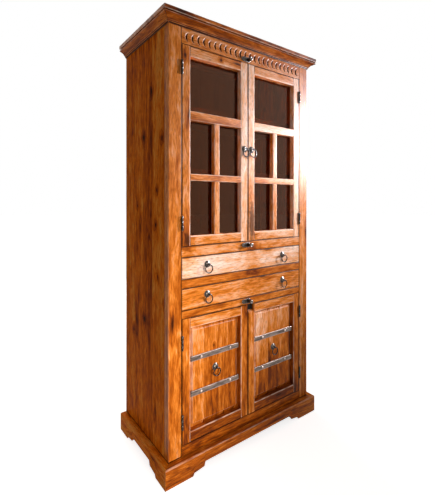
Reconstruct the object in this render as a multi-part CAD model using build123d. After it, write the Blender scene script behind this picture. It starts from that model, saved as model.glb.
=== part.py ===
from build123d import *
import math
import os

# A two-stage trastero cabinet in solid hardwood: glazed doors above, two drawers in the waist and
# panelled doors below, between a moulded crown and a bracket-foot plinth, with forged iron fittings.
# Millimetres. Z is up, the front faces -Y, and the origin is on the floor, at the middle of the
# cabinet's overall footprint.

# ---------------------------------------------------------------- driving dimensions, carcass
BODY_WIDTH = 846.0
BODY_DEPTH = 441.0
CROWN_OVERHANG = 36.0
PLINTH_OVERHANG = 29.0

PLINTH_HEIGHT = 80.0
SILL_HEIGHT = 44.0
LOWER_OPENING = 521.0
LOWER_HEAD_HEIGHT = 33.0
DRAWER_OPENING = 92.0
DIVIDER_HEIGHT = 37.0
WAIST_HEIGHT = 44.0
UPPER_OPENING = 839.0
FRIEZE_HEIGHT = 65.0
CROWN_MOULDING_HEIGHT = 36.0
CROWN_SLAB = 17.0
CROWN_SLAB_CHAMFER = 1.5
CROWN_SETBACK = 2.0
CROWN_GROOVE_HEIGHT = 3.5
CROWN_GROOVE_DEPTH = 9.0
CROWN_LIP = 2.0
CROWN_QUIRK_HEIGHT = 5.0
CROWN_QUIRK_REACH = 2.5
CROWN_FILLET_HEIGHT = 4.0
CROWN_FILLET_REACH = 6.0
CROWN_COVE_SAG = 2.7

POST_WIDTH = 62.0
FRAME_DEPTH = 34.0
SIDE_THICKNESS = 24.0
BACK_THICKNESS = 12.0
BOARD_THICKNESS = 20.0
PLINTH_THICKNESS = 50.0
PLINTH_TOP_ROUND = 5.0

TENON_DEPTH = 12.0
TENON_THICKNESS = 10.0
TENON_LENGTH = 28.0
TENON_SHOULDER = 7.0
TENON_CLEARANCE = 0.1

FOOT_LENGTH = 130.0
SIDE_FOOT_LENGTH = 86.0
FOOT_STEP = 12.0
FOOT_COVE = 7.0
FOOT_SLOPE_RUN = 48.0
FOOT_SLOPE_RISE = 6.0
FOOT_COVE_SAG = 1.5
FOOT_OGEE_SAG = 3.0
APRON_HEIGHT = 37.0

# ---------------------------------------------------------------- driving dimensions, insides
SHELF_SETBACK = 30.0
UPPER_SHELF_RISES = (332.0, 607.0)
LOWER_SHELF_RISE = 261.0
DOOR_STOP_LIP = 8.0
CLEAT = 18.0

# ---------------------------------------------------------------- driving dimensions, doors
DOOR_GAP = 1.5
MEETING_GAP = 3.0
DOOR_THICKNESS = 33.5
STILE_WIDTH = 41.0
DOOR_RAIL = 42.0
DOOR_TENON_DEPTH = 15.0
DOOR_TENON_THICKNESS = 8.0
DOOR_TENON_LENGTH = 24.0

GLASS_DEPTH = 25.0
GLASS_THICKNESS = 3.0
REBATE_WIDTH = 8.0
UPPER_BAR = 40.0
UPPER_BAR_DROP = 228.0
LOWER_BAR = 30.0
LOWER_PANE_HEIGHT = 231.0
MUNTIN_WIDTH = 28.0

PANEL_FIELD_DEPTH = 14.0
PANEL_STEP = 2.0
PANEL_BEVEL = 20.0
PANEL_GROOVE_DEPTH = 25.0
PANEL_GROOVE_WIDTH = 6.0
PANEL_GROOVE_REACH = 8.0
PANEL_FLOAT = 0.3

LATCH_REBATE_WIDTH = 33.0
LATCH_REBATE_HEIGHT = 38.0
LATCH_REBATE_DEPTH = 13.0
STRIKE_THICKNESS = 2.0

# ---------------------------------------------------------------- driving dimensions, drawers
DRAWER_GAP = 1.2
DRAWER_FRONT_THICKNESS = 22.0
DRAWER_FRONT_CHAMFER = 1.0
DRAWER_SIDE = 14.0
DRAWER_BOX_HEIGHT = 76.0
DRAWER_BACK_GAP = 35.0
DRAWER_BOTTOM = 8.0
RUNNER_THICKNESS = 18.0
GUIDE_HEIGHT = 34.0
RUNNER_REACH = 24.0
RUN_CLEARANCE = 0.3
SLIDE_CLEARANCE = 0.8

# ---------------------------------------------------------------- driving dimensions, ironwork
ROUND_SIDES = 12
ROSETTE_SIDES = 16
NAIL_SIDES = 8
RING_SEGMENTS = 24
RING_SIDES = 6

HINGE_INSET = 98.0
HINGE_HEIGHT = 60.0
HINGE_KNUCKLE_RADIUS = 4.5
HINGE_PIN_RADIUS = 1.8
HINGE_PIN_CLEARANCE = 0.08
HINGE_LEAF_THICKNESS = 1.4
HINGE_LEAF_WIDTH = 24.0
HINGE_AXIS_PROUD = 4.7
HINGE_END_PLAY = 0.4
HINGE_PIN_OVERRUN = 1.5

STRAP_WIDTH = 22.0
STRAP_THICKNESS = 6.5
STRAP_END_GAP = 8.0
STRAP_PITCH = 148.0
STRAP_RISE = 5.5
STRAP_EDGE_CHAMFER = 0.8
STRAP_NAIL_OFFSET = 79.0
NAIL_RADIUS = 6.5
NAIL_HEIGHT = 4.0
NAIL_SHOULDERS = ((1.0, 0.15), (0.86, 0.55), (0.5, 0.92))

ROSETTE_RADIUS = 16.0
ROSETTE_RIM = 1.6
ROSETTE_HEIGHT = 7.0
ROSETTE_SHOULDERS = ((0.82, 0.31), (0.62, 0.72), (0.34, 1.0))
EYE_REACH = 15.0
EYE_STEM_RADIUS = 3.2
EYE_RADIUS = 5.6
EYE_HOLE_RADIUS = 3.4
EYE_WIDTH = 4.0
RING_RADIUS = 18.0
RING_BAR_RADIUS = 2.6

UPPER_PULL_RISE = 433.0
LOWER_PULL_RISE = 8.0
DRAWER_PULL_OFFSET = 233.0
DRAWER_PULL_RISE = 7.0

LATCH_REACH = 40.0
LATCH_WIDTH = 24.0
LATCH_TAPER = 0.8
LATCH_THICKNESS = 5.0
LATCH_PEG_RADIUS = 9.0
LATCH_PEG_LENGTH = 23.0
LATCH_PEG_CHAMFER = 1.5
LATCH_DIMPLE_RADIUS = 4.5
LATCH_DIMPLE_DEPTH = 3.5
LATCH_PIVOT_RADIUS = 4.0
LATCH_PIVOT_LENGTH = 22.0
LATCH_PIVOT_CLEARANCE = 0.05
LATCH_STANDOFF = 0.6
LATCH_OVER_DOORS = 3.0
LATCH_UNDER_DOORS = 4.0
LATCH_HEAD_RISE = 1.5

CRESCENT_COUNT = 24
CRESCENT_PITCH = 29.2
CRESCENT_HEIGHT = 35.0
CRESCENT_WIDTH = 7.0
CRESCENT_BULGE = 11.0
CRESCENT_DEPTH = 3.0
CRESCENT_CUTS = 6

# ---------------------------------------------------------------- derived levels and faces
SILL_TOP = PLINTH_HEIGHT + SILL_HEIGHT
LOWER_DOOR_HEAD = SILL_TOP + LOWER_OPENING
LOWER_HEAD_TOP = LOWER_DOOR_HEAD + LOWER_HEAD_HEIGHT
LOWER_DRAWER_TOP = LOWER_HEAD_TOP + DRAWER_OPENING
DIVIDER_TOP = LOWER_DRAWER_TOP + DIVIDER_HEIGHT
UPPER_DRAWER_TOP = DIVIDER_TOP + DRAWER_OPENING
WAIST_TOP = UPPER_DRAWER_TOP + WAIST_HEIGHT
UPPER_DOOR_HEAD = WAIST_TOP + UPPER_OPENING
FRIEZE_TOP = UPPER_DOOR_HEAD + FRIEZE_HEIGHT
CARCASS_TOP = FRIEZE_TOP + CROWN_MOULDING_HEIGHT
OVERALL_HEIGHT = CARCASS_TOP + CROWN_SLAB

HALF_BODY = BODY_WIDTH / 2
HALF_OPENING = HALF_BODY - POST_WIDTH
HALF_INSIDE = HALF_BODY - SIDE_THICKNESS
FRONT_Y = CROWN_OVERHANG - (BODY_DEPTH + CROWN_OVERHANG) / 2
BACK_Y = FRONT_Y + BODY_DEPTH
INSIDE_DEPTH = BODY_DEPTH - BACK_THICKNESS
DRAWER_BOX_LENGTH = INSIDE_DEPTH - DRAWER_BACK_GAP - DRAWER_FRONT_THICKNESS

DOOR_OUTER = HALF_OPENING - DOOR_GAP
DOOR_MEETING = MEETING_GAP / 2
DOOR_CENTRE = (DOOR_OUTER + DOOR_MEETING) / 2
PANE_OUTER = DOOR_OUTER - STILE_WIDTH
PANE_MEETING = DOOR_MEETING + STILE_WIDTH
LATCH_HEIGHTS = {
    "latch_frieze": UPPER_DOOR_HEAD + LATCH_OVER_DOORS + LATCH_WIDTH / 2,
    "latch_waist": WAIST_TOP - LATCH_UNDER_DOORS - LATCH_WIDTH / 2,
    "latch_lower_head": LOWER_DOOR_HEAD + LOWER_HEAD_HEIGHT / 2 + LATCH_HEAD_RISE,
}
SHELF_TOPS = tuple(WAIST_TOP + rise for rise in UPPER_SHELF_RISES)
LOWER_SHELF_TOP = SILL_TOP + LOWER_SHELF_RISE
STRAP_CENTRE = (SILL_TOP + LOWER_DOOR_HEAD) / 2 + STRAP_RISE


# ---------------------------------------------------------------- helpers
def timber(x0, x1, d0, d1, z0, z1):
    """A square-edged board, placed by its ends; d0 and d1 are depths behind the front face."""
    middle = ((x0 + x1) / 2, FRONT_Y + (d0 + d1) / 2, (z0 + z1) / 2)
    return Pos(*middle) * Box(abs(x1 - x0), abs(d1 - d0), abs(z1 - z0))


def forged_round(plane, length, radius):
    """A forged round with flat facets, whose corners lie on the radius; it starts at the plane."""
    return extrude(plane * RegularPolygon(radius, side_count=ROUND_SIDES), length)


def bore_radius(radius, clearance):
    """The corner radius of a faceted bore that a round of the given radius turns in freely."""
    return (radius + clearance) / math.cos(math.pi / ROUND_SIDES)


def rod_z(x, depth, z0, z1, radius):
    """An upright forged round."""
    return forged_round(Plane((x, FRONT_Y + depth, z0)), z1 - z0, radius)


def rod_y(x, z, d0, d1, radius):
    """A forged round that points from front to back."""
    return forged_round(Plane((x, FRONT_Y + d0, z), x_dir=(1, 0, 0), z_dir=(0, 1, 0)), d1 - d0, radius)


def rod_x(x0, x1, depth, z, radius):
    """A forged round that lies across the cabinet."""
    return forged_round(Plane((x0, FRONT_Y + depth, z), x_dir=(0, 1, 0), z_dir=(1, 0, 0)), x1 - x0, radius)


def arc_points(x, z, radius, start, end, cuts):
    """Points along an arc in the front plane, from one angle to another, in degrees."""
    angles = [math.radians(start + (end - start) * k / cuts) for k in range(cuts + 1)]
    return [(x + radius * math.cos(a), z + radius * math.sin(a)) for a in angles]


def flipped(shape):
    """The same piece on the other side of the cabinet."""
    return mirror(shape, Plane.YZ)


def hammered(stations, sides):
    """A hammered boss at the origin that rises along +Z through its (radius, height) stations."""
    flat = math.cos(math.pi / sides)
    steps = []
    for (r0, h0), (r1, h1) in zip(stations, stations[1:]):
        slope = math.degrees(math.atan((r0 - r1) * flat / (h1 - h0)))
        section = Plane((0, 0, h0)) * RegularPolygon(r0, side_count=sides)
        steps.append(extrude(section, h1 - h0, taper=slope))
    return steps[0] + steps[1:]


def on_face(shape, x, depth, z):
    """Stands a boss on a face at the given depth, so that its height points to the front."""
    return Pos(x, FRONT_Y + depth, z) * Rot(90, 0, 0) * shape


def rail_with_tenons(x0, x1, z0, z1, thickness, length, depth, tenon):
    """A rail whose stub tenons run past both shoulders."""
    body = timber(x0, x1, 0, thickness, z0, z1)
    stub = timber(x0 - length, x1 + length, depth, depth + tenon, z0 + TENON_SHOULDER, z1 - TENON_SHOULDER)
    return body + stub


def mortise(x0, x1, z0, z1, depth, tenon):
    """The pocket that takes a rail's tenon, with its clearance all round."""
    c = TENON_CLEARANCE
    return timber(x0, x1, depth - c, depth + tenon + c, z0 + TENON_SHOULDER - c, z1 - TENON_SHOULDER + c)


def prism(points, z0, z1):
    """An upright prism on a plan outline given in x and y."""
    return Pos(0, 0, z0) * extrude(make_face(Polyline(*points, close=True)), z1 - z0)


# ---------------------------------------------------------------- carcass
FRAME_RAILS = {
    "sill_rail": (PLINTH_HEIGHT, SILL_TOP),
    "lower_head_rail": (LOWER_DOOR_HEAD, LOWER_HEAD_TOP),
    "drawer_divider_rail": (LOWER_DRAWER_TOP, DIVIDER_TOP),
    "waist_rail": (UPPER_DRAWER_TOP, WAIST_TOP),
    "frieze_rail": (UPPER_DOOR_HEAD, CARCASS_TOP),
}


def hinge_heights(z0, z1):
    """The centres of a door's two hinges."""
    return (z0 + HINGE_INSET, z1 - HINGE_INSET)


HINGE_LEVELS = hinge_heights(SILL_TOP, LOWER_DOOR_HEAD) + hinge_heights(WAIST_TOP, UPPER_DOOR_HEAD)


def leaf_recess(x, level, inward):
    """The shallow seat that is cut for one hinge leaf in the edge at x."""
    half = HINGE_HEIGHT / 2
    return timber(x, x + inward * HINGE_LEAF_THICKNESS, -1, HINGE_LEAF_WIDTH, level - half, level + half)


def left_post():
    """A front post with its mortises and hinge seats."""
    post = timber(-HALF_BODY, -HALF_OPENING, 0, FRAME_DEPTH, PLINTH_HEIGHT, CARCASS_TOP)
    for z0, z1 in FRAME_RAILS.values():
        reach = -HALF_OPENING - TENON_LENGTH - TENON_CLEARANCE
        post -= mortise(reach, -HALF_OPENING, z0, z1, TENON_DEPTH, TENON_THICKNESS)
    for level in HINGE_LEVELS:
        post -= leaf_recess(-HALF_OPENING, level, -1)
    return post


def frame_rail(name):
    """One rail of the front frame."""
    z0, z1 = FRAME_RAILS[name]
    return rail_with_tenons(
        -HALF_OPENING, HALF_OPENING, z0, z1, FRAME_DEPTH, TENON_LENGTH, TENON_DEPTH, TENON_THICKNESS
    )


def bow(tip_x, z, half, bulge):
    """The left-hand bow between two tips at tip_x, half a height above and below z, as straight cuts."""
    radius = (half**2 + bulge**2) / (2 * bulge)
    swing = math.degrees(math.asin(half / radius))
    return arc_points(tip_x - bulge + radius, z, radius, 180 - swing, 180 + swing, CRESCENT_CUTS)


def crescent_cutter():
    """A moon-shaped gouge at the origin, whose floor slopes in from the outer bow to the inner one."""
    half = CRESCENT_HEIGHT / 2
    tip_x = CRESCENT_BULGE / 2
    outer = bow(tip_x, 0, half, CRESCENT_BULGE)
    inner = bow(tip_x, 0, half, CRESCENT_BULGE - CRESCENT_WIDTH)
    moon = make_face(Polyline(*(outer + inner[-2:0:-1]), close=True))
    moon = extrude(Plane.XZ * moon, CRESCENT_BULGE, both=True)
    left = tip_x - CRESCENT_BULGE
    run = CRESCENT_BULGE + 1
    fall = CRESCENT_DEPTH * run / CRESCENT_WIDTH
    wedge = Polyline((left, 0), (left, -1), (left + run, -1), (left + run, fall), close=True)
    return moon & Pos(0, 0, -half - 1) * extrude(make_face(wedge), 2 * half + 2)


def carved_frieze():
    """The frieze rail with its row of crescents."""
    rail = frame_rail("frieze_rail")
    level = UPPER_DOOR_HEAD + FRIEZE_HEIGHT / 2
    first = -CRESCENT_PITCH * (CRESCENT_COUNT - 1) / 2
    cutter = crescent_cutter()
    return rail - [Pos(first + k * CRESCENT_PITCH, FRONT_Y, level) * cutter for k in range(CRESCENT_COUNT)]


def pivot_hole(rail, name):
    """Bores a rail for the pivot of one turn latch."""
    radius = bore_radius(LATCH_PIVOT_RADIUS, LATCH_PIVOT_CLEARANCE)
    return rail - rod_y(0, LATCH_HEIGHTS[name], -1, LATCH_PIVOT_LENGTH + 1, radius)


def left_side():
    """The side panel, behind the front post and over the full depth."""
    panel = timber(-HALF_BODY, -HALF_INSIDE, FRAME_DEPTH, BODY_DEPTH, PLINTH_HEIGHT, CARCASS_TOP)
    return panel


def back_panel():
    """The back, between the side panels."""
    return timber(-HALF_INSIDE, HALF_INSIDE, INSIDE_DEPTH, BODY_DEPTH, PLINTH_HEIGHT, CARCASS_TOP)


def inside_board(top, front, thickness=BOARD_THICKNESS):
    """A board from side to side, with its front edge at the given depth."""
    return timber(-HALF_INSIDE, HALF_INSIDE, front, INSIDE_DEPTH, top - thickness, top)


# ---------------------------------------------------------------- crown
def crown_section():
    """The moulding's section: x is the reach from the case, y the height above its lower edge."""
    top = CROWN_MOULDING_HEIGHT
    reach = CROWN_OVERHANG - CROWN_SETBACK
    inner = reach - CROWN_GROOVE_DEPTH
    groove = top - CROWN_GROOVE_HEIGHT
    lip = groove - CROWN_LIP
    quirk = CROWN_QUIRK_HEIGHT
    fillet_top = quirk + CROWN_FILLET_HEIGHT
    cove_start = CROWN_FILLET_REACH + CROWN_QUIRK_REACH
    length = math.hypot(reach - cove_start, lip - fillet_top)
    sag_x = CROWN_COVE_SAG * (lip - fillet_top) / length
    sag_y = CROWN_COVE_SAG * (reach - cove_start) / length
    middle = ((cove_start + reach) / 2 - sag_x, (fillet_top + lip) / 2 + sag_y)
    cove = ThreePointArc((cove_start, fillet_top), middle, (reach, lip))
    outline = Polyline(
        (reach, lip), (reach, groove), (inner, groove), (inner, top), (0, top), (0, 0),
        (CROWN_QUIRK_REACH, 0), (CROWN_QUIRK_REACH, quirk),
        (CROWN_FILLET_REACH, quirk), (CROWN_FILLET_REACH, fillet_top),
        (cove_start, fillet_top)
    )
    return make_face([outline, cove])


def crown_front():
    """The front length of the crown moulding, mitred at both ends."""
    half = HALF_BODY + CROWN_OVERHANG
    face = Plane((-half, FRONT_Y, FRIEZE_TOP), x_dir=(0, -1, 0), z_dir=(-1, 0, 0)) * crown_section()
    outer = FRONT_Y - CROWN_OVERHANG
    corners = [(-half, outer), (half, outer), (HALF_BODY, FRONT_Y), (-HALF_BODY, FRONT_Y)]
    return extrude(face, 2 * half, dir=(1, 0, 0)) & prism(corners, FRIEZE_TOP, CARCASS_TOP)


def crown_left():
    """The left length of the crown moulding, mitred at the front."""
    outer = -HALF_BODY - CROWN_OVERHANG
    start = FRONT_Y - CROWN_OVERHANG
    face = Plane((-HALF_BODY, start, FRIEZE_TOP), x_dir=(-1, 0, 0), z_dir=(0, 1, 0)) * crown_section()
    corners = [(outer, start), (-HALF_BODY, FRONT_Y), (-HALF_BODY, BACK_Y), (outer, BACK_Y)]
    return extrude(face, BACK_Y - start, dir=(0, 1, 0)) & prism(corners, FRIEZE_TOP, CARCASS_TOP)


def crown_top():
    """The board that closes the case, with a softened edge."""
    half = HALF_BODY + CROWN_OVERHANG
    slab = timber(-half, half, -CROWN_OVERHANG, BODY_DEPTH, CARCASS_TOP, OVERALL_HEIGHT)
    rim = slab.faces().sort_by(Axis.Y)[0].edges().filter_by(Axis.X)
    return chamfer(rim, CROWN_SLAB_CHAMFER)


# ---------------------------------------------------------------- plinth
def foot_cutter(length, foot):
    """The right half of an apron's cut-out in its own plane: a stepped, sloping profile."""
    half = length / 2 - foot
    rise = FOOT_STEP + FOOT_SLOPE_RISE
    cove_end = half - FOOT_COVE
    slope_end = cove_end - FOOT_SLOPE_RUN
    ogee_end = slope_end - FOOT_COVE
    middle = (slope_end - FOOT_COVE / 5, (rise + APRON_HEIGHT) / 2 + FOOT_OGEE_SAG)
    right = [
        Line((0, -1), (half, -1)),
        Line((half, -1), (half, 0)),
        ThreePointArc((half, 0), (cove_end + FOOT_COVE_SAG, FOOT_STEP / 2), (cove_end, FOOT_STEP)),
        Line((cove_end, FOOT_STEP), (slope_end, rise)),
        ThreePointArc((slope_end, rise), middle, (ogee_end, APRON_HEIGHT)),
        Line((ogee_end, APRON_HEIGHT), (0, APRON_HEIGHT)),
        Line((0, APRON_HEIGHT), (0, -1)),
    ]
    return make_face(right)


def plinth_board(length, foot):
    """A plinth board laid along +X with its outer face towards -Y, before its mitres."""
    board = Pos(0, PLINTH_THICKNESS / 2, PLINTH_HEIGHT / 2) * Box(length, PLINTH_THICKNESS, PLINTH_HEIGHT)
    board = fillet(board.edges().filter_by(Axis.X).sort_by(Axis.Z)[-2:].sort_by(Axis.Y)[0], PLINTH_TOP_ROUND)
    half_cut = extrude(Plane.XZ * foot_cutter(length, foot), -(PLINTH_THICKNESS + 1), both=False)
    cut = Pos(0, -0.5, 0) * half_cut
    return board - cut - mirror(cut, Plane.YZ)


def plinth_front():
    """The front board of the plinth, mitred into the two sides."""
    half = HALF_BODY + PLINTH_OVERHANG
    outer = FRONT_Y - PLINTH_OVERHANG
    t = PLINTH_THICKNESS
    board = Pos(0, outer, 0) * plinth_board(2 * half, FOOT_LENGTH)
    corners = [(-half, outer), (half, outer), (half - t, outer + t), (-half + t, outer + t)]
    return board & prism(corners, 0, PLINTH_HEIGHT)


def plinth_left():
    """The left board of the plinth, mitred at the front and square at the back."""
    edge = -HALF_BODY - PLINTH_OVERHANG
    outer = FRONT_Y - PLINTH_OVERHANG
    t = PLINTH_THICKNESS
    length = BACK_Y - outer
    board = Pos(edge, (outer + BACK_Y) / 2, 0) * Rot(0, 0, -90) * plinth_board(length, SIDE_FOOT_LENGTH)
    corners = [(edge, outer), (edge + t, outer + t), (edge + t, BACK_Y), (edge, BACK_Y)]
    return board & prism(corners, 0, PLINTH_HEIGHT)


# ---------------------------------------------------------------- drawers and their bay
def runner(top, side):
    """A runner along one side: a ledge under the drawer side and a guide that fills out to the post."""
    inner = HALF_INSIDE
    lane = HALF_OPENING - DRAWER_GAP + SLIDE_CLEARANCE
    edge = lane - RUNNER_REACH
    ledge = timber(side * inner, side * edge, FRAME_DEPTH, INSIDE_DEPTH, top - RUNNER_THICKNESS, top)
    guide = timber(side * inner, side * lane, FRAME_DEPTH, INSIDE_DEPTH, top, top + GUIDE_HEIGHT)
    return ledge + guide


def bay_guide(top, side):
    """A guide strip on the bay floor, beside the lower drawer."""
    lane = HALF_OPENING - DRAWER_GAP + SLIDE_CLEARANCE
    return timber(side * HALF_INSIDE, side * lane, FRAME_DEPTH, INSIDE_DEPTH, top, top + GUIDE_HEIGHT)


def drawer_front(bottom):
    """An inset drawer front, flush with the frame."""
    half = HALF_OPENING - DRAWER_GAP
    z0 = bottom + DRAWER_GAP
    z1 = bottom + DRAWER_OPENING - DRAWER_GAP
    front = timber(-half, half, 0, DRAWER_FRONT_THICKNESS, z0, z1)
    return chamfer(front.faces().sort_by(Axis.Y)[0].edges(), DRAWER_FRONT_CHAMFER)


def drawer_box(bottom):
    """The four other pieces of a drawer, as separate solids: two sides, a back and a bottom."""
    half = HALF_OPENING - DRAWER_GAP
    z0 = bottom + RUN_CLEARANCE
    z1 = z0 + DRAWER_BOX_HEIGHT
    d0 = DRAWER_FRONT_THICKNESS
    d1 = d0 + DRAWER_BOX_LENGTH
    floor = z0 + DRAWER_SIDE / 2
    groove = DRAWER_SIDE / 2
    side = timber(-half, -half + DRAWER_SIDE, d0, d1, z0, z1)
    side -= timber(-half + groove, -half + DRAWER_SIDE, d0, d1, floor, floor + DRAWER_BOTTOM)
    back = timber(-half + DRAWER_SIDE, half - DRAWER_SIDE, d1 - DRAWER_SIDE, d1, floor + DRAWER_BOTTOM, z1)
    sheet = timber(-half + groove, half - groove, d0, d1, floor, floor + DRAWER_BOTTOM)
    return [side, flipped(side), back, sheet]


# ---------------------------------------------------------------- doors
def door_stile(x0, x1, z0, z1, inner, rails, groove):
    """A stile with its mortises; inner is its inner edge, rails the levels of the rails it takes."""
    stile = timber(x0, x1, 0, DOOR_THICKNESS, z0, z1)
    outward = math.copysign(1, (x0 + x1) / 2 - inner)
    far = inner + outward * (DOOR_TENON_LENGTH + TENON_CLEARANCE)
    for low, high in rails:
        stile -= mortise(inner, far, low, high, DOOR_TENON_DEPTH, DOOR_TENON_THICKNESS)
    depth0, depth1, reach, low, high = groove
    return stile - timber(inner, inner + outward * reach, depth0, depth1, low, high)


def door_rail(z0, z1, groove, upper_edge):
    """A top or bottom rail of the left door, grooved or rebated along its inner edge."""
    rail = rail_with_tenons(
        -PANE_OUTER, -PANE_MEETING, z0, z1, DOOR_THICKNESS,
        DOOR_TENON_LENGTH, DOOR_TENON_DEPTH, DOOR_TENON_THICKNESS
    )
    depth0, depth1, reach = groove
    low, high = (z0, z0 + reach) if upper_edge else (z1 - reach, z1)
    return rail - timber(-DOOR_OUTER, -DOOR_MEETING, depth0, depth1, low, high)


def left_door_frame(z0, z1, groove_depths, reach):
    """The stiles and rails of the left door in an opening from z0 to z1, as separate solids."""
    bottom = z0 + DOOR_GAP
    top = z1 - DOOR_GAP
    low_rail = (bottom, bottom + DOOR_RAIL)
    top_rail = (top - DOOR_RAIL, top)
    depth0, depth1 = groove_depths
    groove = (depth0, depth1, reach, low_rail[1] - reach, top_rail[0] + reach)
    rails = [low_rail, top_rail]
    outer = door_stile(-DOOR_OUTER, -PANE_OUTER, bottom, top, -PANE_OUTER, rails, groove)
    meeting = door_stile(-PANE_MEETING, -DOOR_MEETING, bottom, top, -PANE_MEETING, rails, groove)
    for level in hinge_heights(z0, z1):
        outer -= leaf_recess(-DOOR_OUTER, level, 1)
    head = door_rail(*top_rail, (depth0, depth1, reach), True)
    foot = door_rail(*low_rail, (depth0, depth1, reach), False)
    return {"outer": outer, "meeting": meeting, "head": head, "foot": foot}


UPPER_PANES_TOP = UPPER_DOOR_HEAD - DOOR_GAP - DOOR_RAIL
UPPER_PANES_BOTTOM = WAIST_TOP + DOOR_GAP + DOOR_RAIL
LOWER_PANEL_TOP = LOWER_DOOR_HEAD - DOOR_GAP - DOOR_RAIL
LOWER_PANEL_BOTTOM = SILL_TOP + DOOR_GAP + DOOR_RAIL


def left_glazing_bars():
    """Two cross bars and the two upright muntins below the upper one."""
    high = UPPER_PANES_TOP - UPPER_BAR_DROP
    low = UPPER_PANES_BOTTOM + LOWER_PANE_HEIGHT
    x0, x1 = -PANE_OUTER, -PANE_MEETING
    half = MUNTIN_WIDTH / 2
    bars = [
        timber(x0, x1, 0, GLASS_DEPTH, high - UPPER_BAR, high),
        timber(x0, x1, 0, GLASS_DEPTH, low, low + LOWER_BAR),
        timber(-DOOR_CENTRE - half, -DOOR_CENTRE + half, 0, GLASS_DEPTH, low + LOWER_BAR, high - UPPER_BAR),
        timber(-DOOR_CENTRE - half, -DOOR_CENTRE + half, 0, GLASS_DEPTH, UPPER_PANES_BOTTOM, low),
    ]
    return bars


def left_glass():
    """One sheet behind the bars, in the rebate of the frame."""
    r = REBATE_WIDTH - PANEL_FLOAT
    return timber(
        -PANE_OUTER - r, -PANE_MEETING + r, GLASS_DEPTH, GLASS_DEPTH + GLASS_THICKNESS,
        UPPER_PANES_BOTTOM - r, UPPER_PANES_TOP + r
    )


def left_beads():
    """Four mitre-free beads that hold the glass from behind."""
    r = REBATE_WIDTH
    d0, d1 = GLASS_DEPTH + GLASS_THICKNESS, DOOR_THICKNESS
    x0, x1 = -PANE_OUTER - r, -PANE_MEETING + r
    z0, z1 = UPPER_PANES_BOTTOM - r, UPPER_PANES_TOP + r
    return [
        timber(x0, x1, d0, d1, z1 - r, z1),
        timber(x0, x1, d0, d1, z0, z0 + r),
        timber(x0, x0 + r, d0, d1, z0 + r, z1 - r),
        timber(x1 - r, x1, d0, d1, z0 + r, z1 - r),
    ]


def left_panel():
    """A raised and fielded panel, floating in the grooves of the frame."""
    reach = PANEL_GROOVE_REACH - PANEL_FLOAT
    tongue0 = PANEL_GROOVE_DEPTH + PANEL_FLOAT / 2
    tongue1 = PANEL_GROOVE_DEPTH + PANEL_GROOVE_WIDTH - PANEL_FLOAT / 2
    width = PANE_OUTER - PANE_MEETING
    height = LOWER_PANEL_TOP - LOWER_PANEL_BOTTOM
    middle = (LOWER_PANEL_TOP + LOWER_PANEL_BOTTOM) / 2
    tongue = timber(
        -PANE_OUTER - reach, -PANE_MEETING + reach, tongue0, tongue1,
        LOWER_PANEL_BOTTOM - reach, LOWER_PANEL_TOP + reach
    )
    field_front = PANEL_FIELD_DEPTH
    bevel_front = PANEL_FIELD_DEPTH + PANEL_STEP
    field_w = width - 2 * PANEL_BEVEL
    field_h = height - 2 * PANEL_BEVEL
    inset = PANEL_FLOAT
    foot_plane = Plane((-DOOR_CENTRE, FRONT_Y + tongue0, middle), x_dir=(1, 0, 0), z_dir=(0, -1, 0))
    rise = tongue0 - bevel_front
    bevel = math.degrees(math.atan((PANEL_BEVEL - inset) / rise))
    slope = extrude(foot_plane * Rectangle(width - 2 * inset, height - 2 * inset), rise, taper=bevel)
    field = timber(
        -DOOR_CENTRE - field_w / 2, -DOOR_CENTRE + field_w / 2, field_front, bevel_front,
        middle - field_h / 2, middle + field_h / 2
    )
    return tongue + slope + field


# ---------------------------------------------------------------- hinges
HINGE_X = HALF_OPENING - DOOR_GAP / 2
HINGE_DEPTH = -HINGE_AXIS_PROUD


def knuckle(x, z0, z1):
    """One knuckle of a hinge on the left door."""
    return rod_z(x, HINGE_DEPTH, z0, z1, HINGE_KNUCKLE_RADIUS)


def fixed_hinge(level):
    """The fixed leaf of a left hinge with its two outer knuckles, and the pin through them."""
    half = HINGE_HEIGHT / 2
    third = HINGE_HEIGHT / 3
    t = HINGE_LEAF_THICKNESS
    leaf = timber(-HALF_OPENING - t, -HALF_OPENING, 0, HINGE_LEAF_WIDTH, level - half, level + half)
    for z0, z1 in ((level - half, level - third / 2), (level + third / 2, level + half)):
        leaf += knuckle(-HINGE_X, z0, z1)
        leaf += timber(-HALF_OPENING - t, -HALF_OPENING, HINGE_DEPTH, 0, z0, z1)
    leaf -= rod_z(-HINGE_X, HINGE_DEPTH, level - half, level + half, HINGE_PIN_RADIUS)
    over = half + HINGE_PIN_OVERRUN
    pin = rod_z(-HINGE_X, HINGE_DEPTH, level - over, level + over, HINGE_PIN_RADIUS)
    return [leaf, pin]


def door_hinge(level):
    """The door's leaf of a left hinge with its middle knuckle."""
    half = HINGE_HEIGHT / 2
    reach = HINGE_HEIGHT / 6 - HINGE_END_PLAY
    t = HINGE_LEAF_THICKNESS
    leaf = timber(-DOOR_OUTER, -DOOR_OUTER + t, 0, HINGE_LEAF_WIDTH, level - half, level + half)
    leaf += knuckle(-HINGE_X, level - reach, level + reach)
    leaf += timber(-DOOR_OUTER, -DOOR_OUTER + t, HINGE_DEPTH, 0, level - reach, level + reach)
    radius = bore_radius(HINGE_PIN_RADIUS, HINGE_PIN_CLEARANCE)
    return leaf - rod_z(-HINGE_X, HINGE_DEPTH, level - half, level + half, radius)


# ---------------------------------------------------------------- pulls
def shoulders(radius, height, shares):
    """The stations of a dome, from shares of its radius and its height."""
    return [(radius * r, height * h) for r, h in shares]


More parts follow.
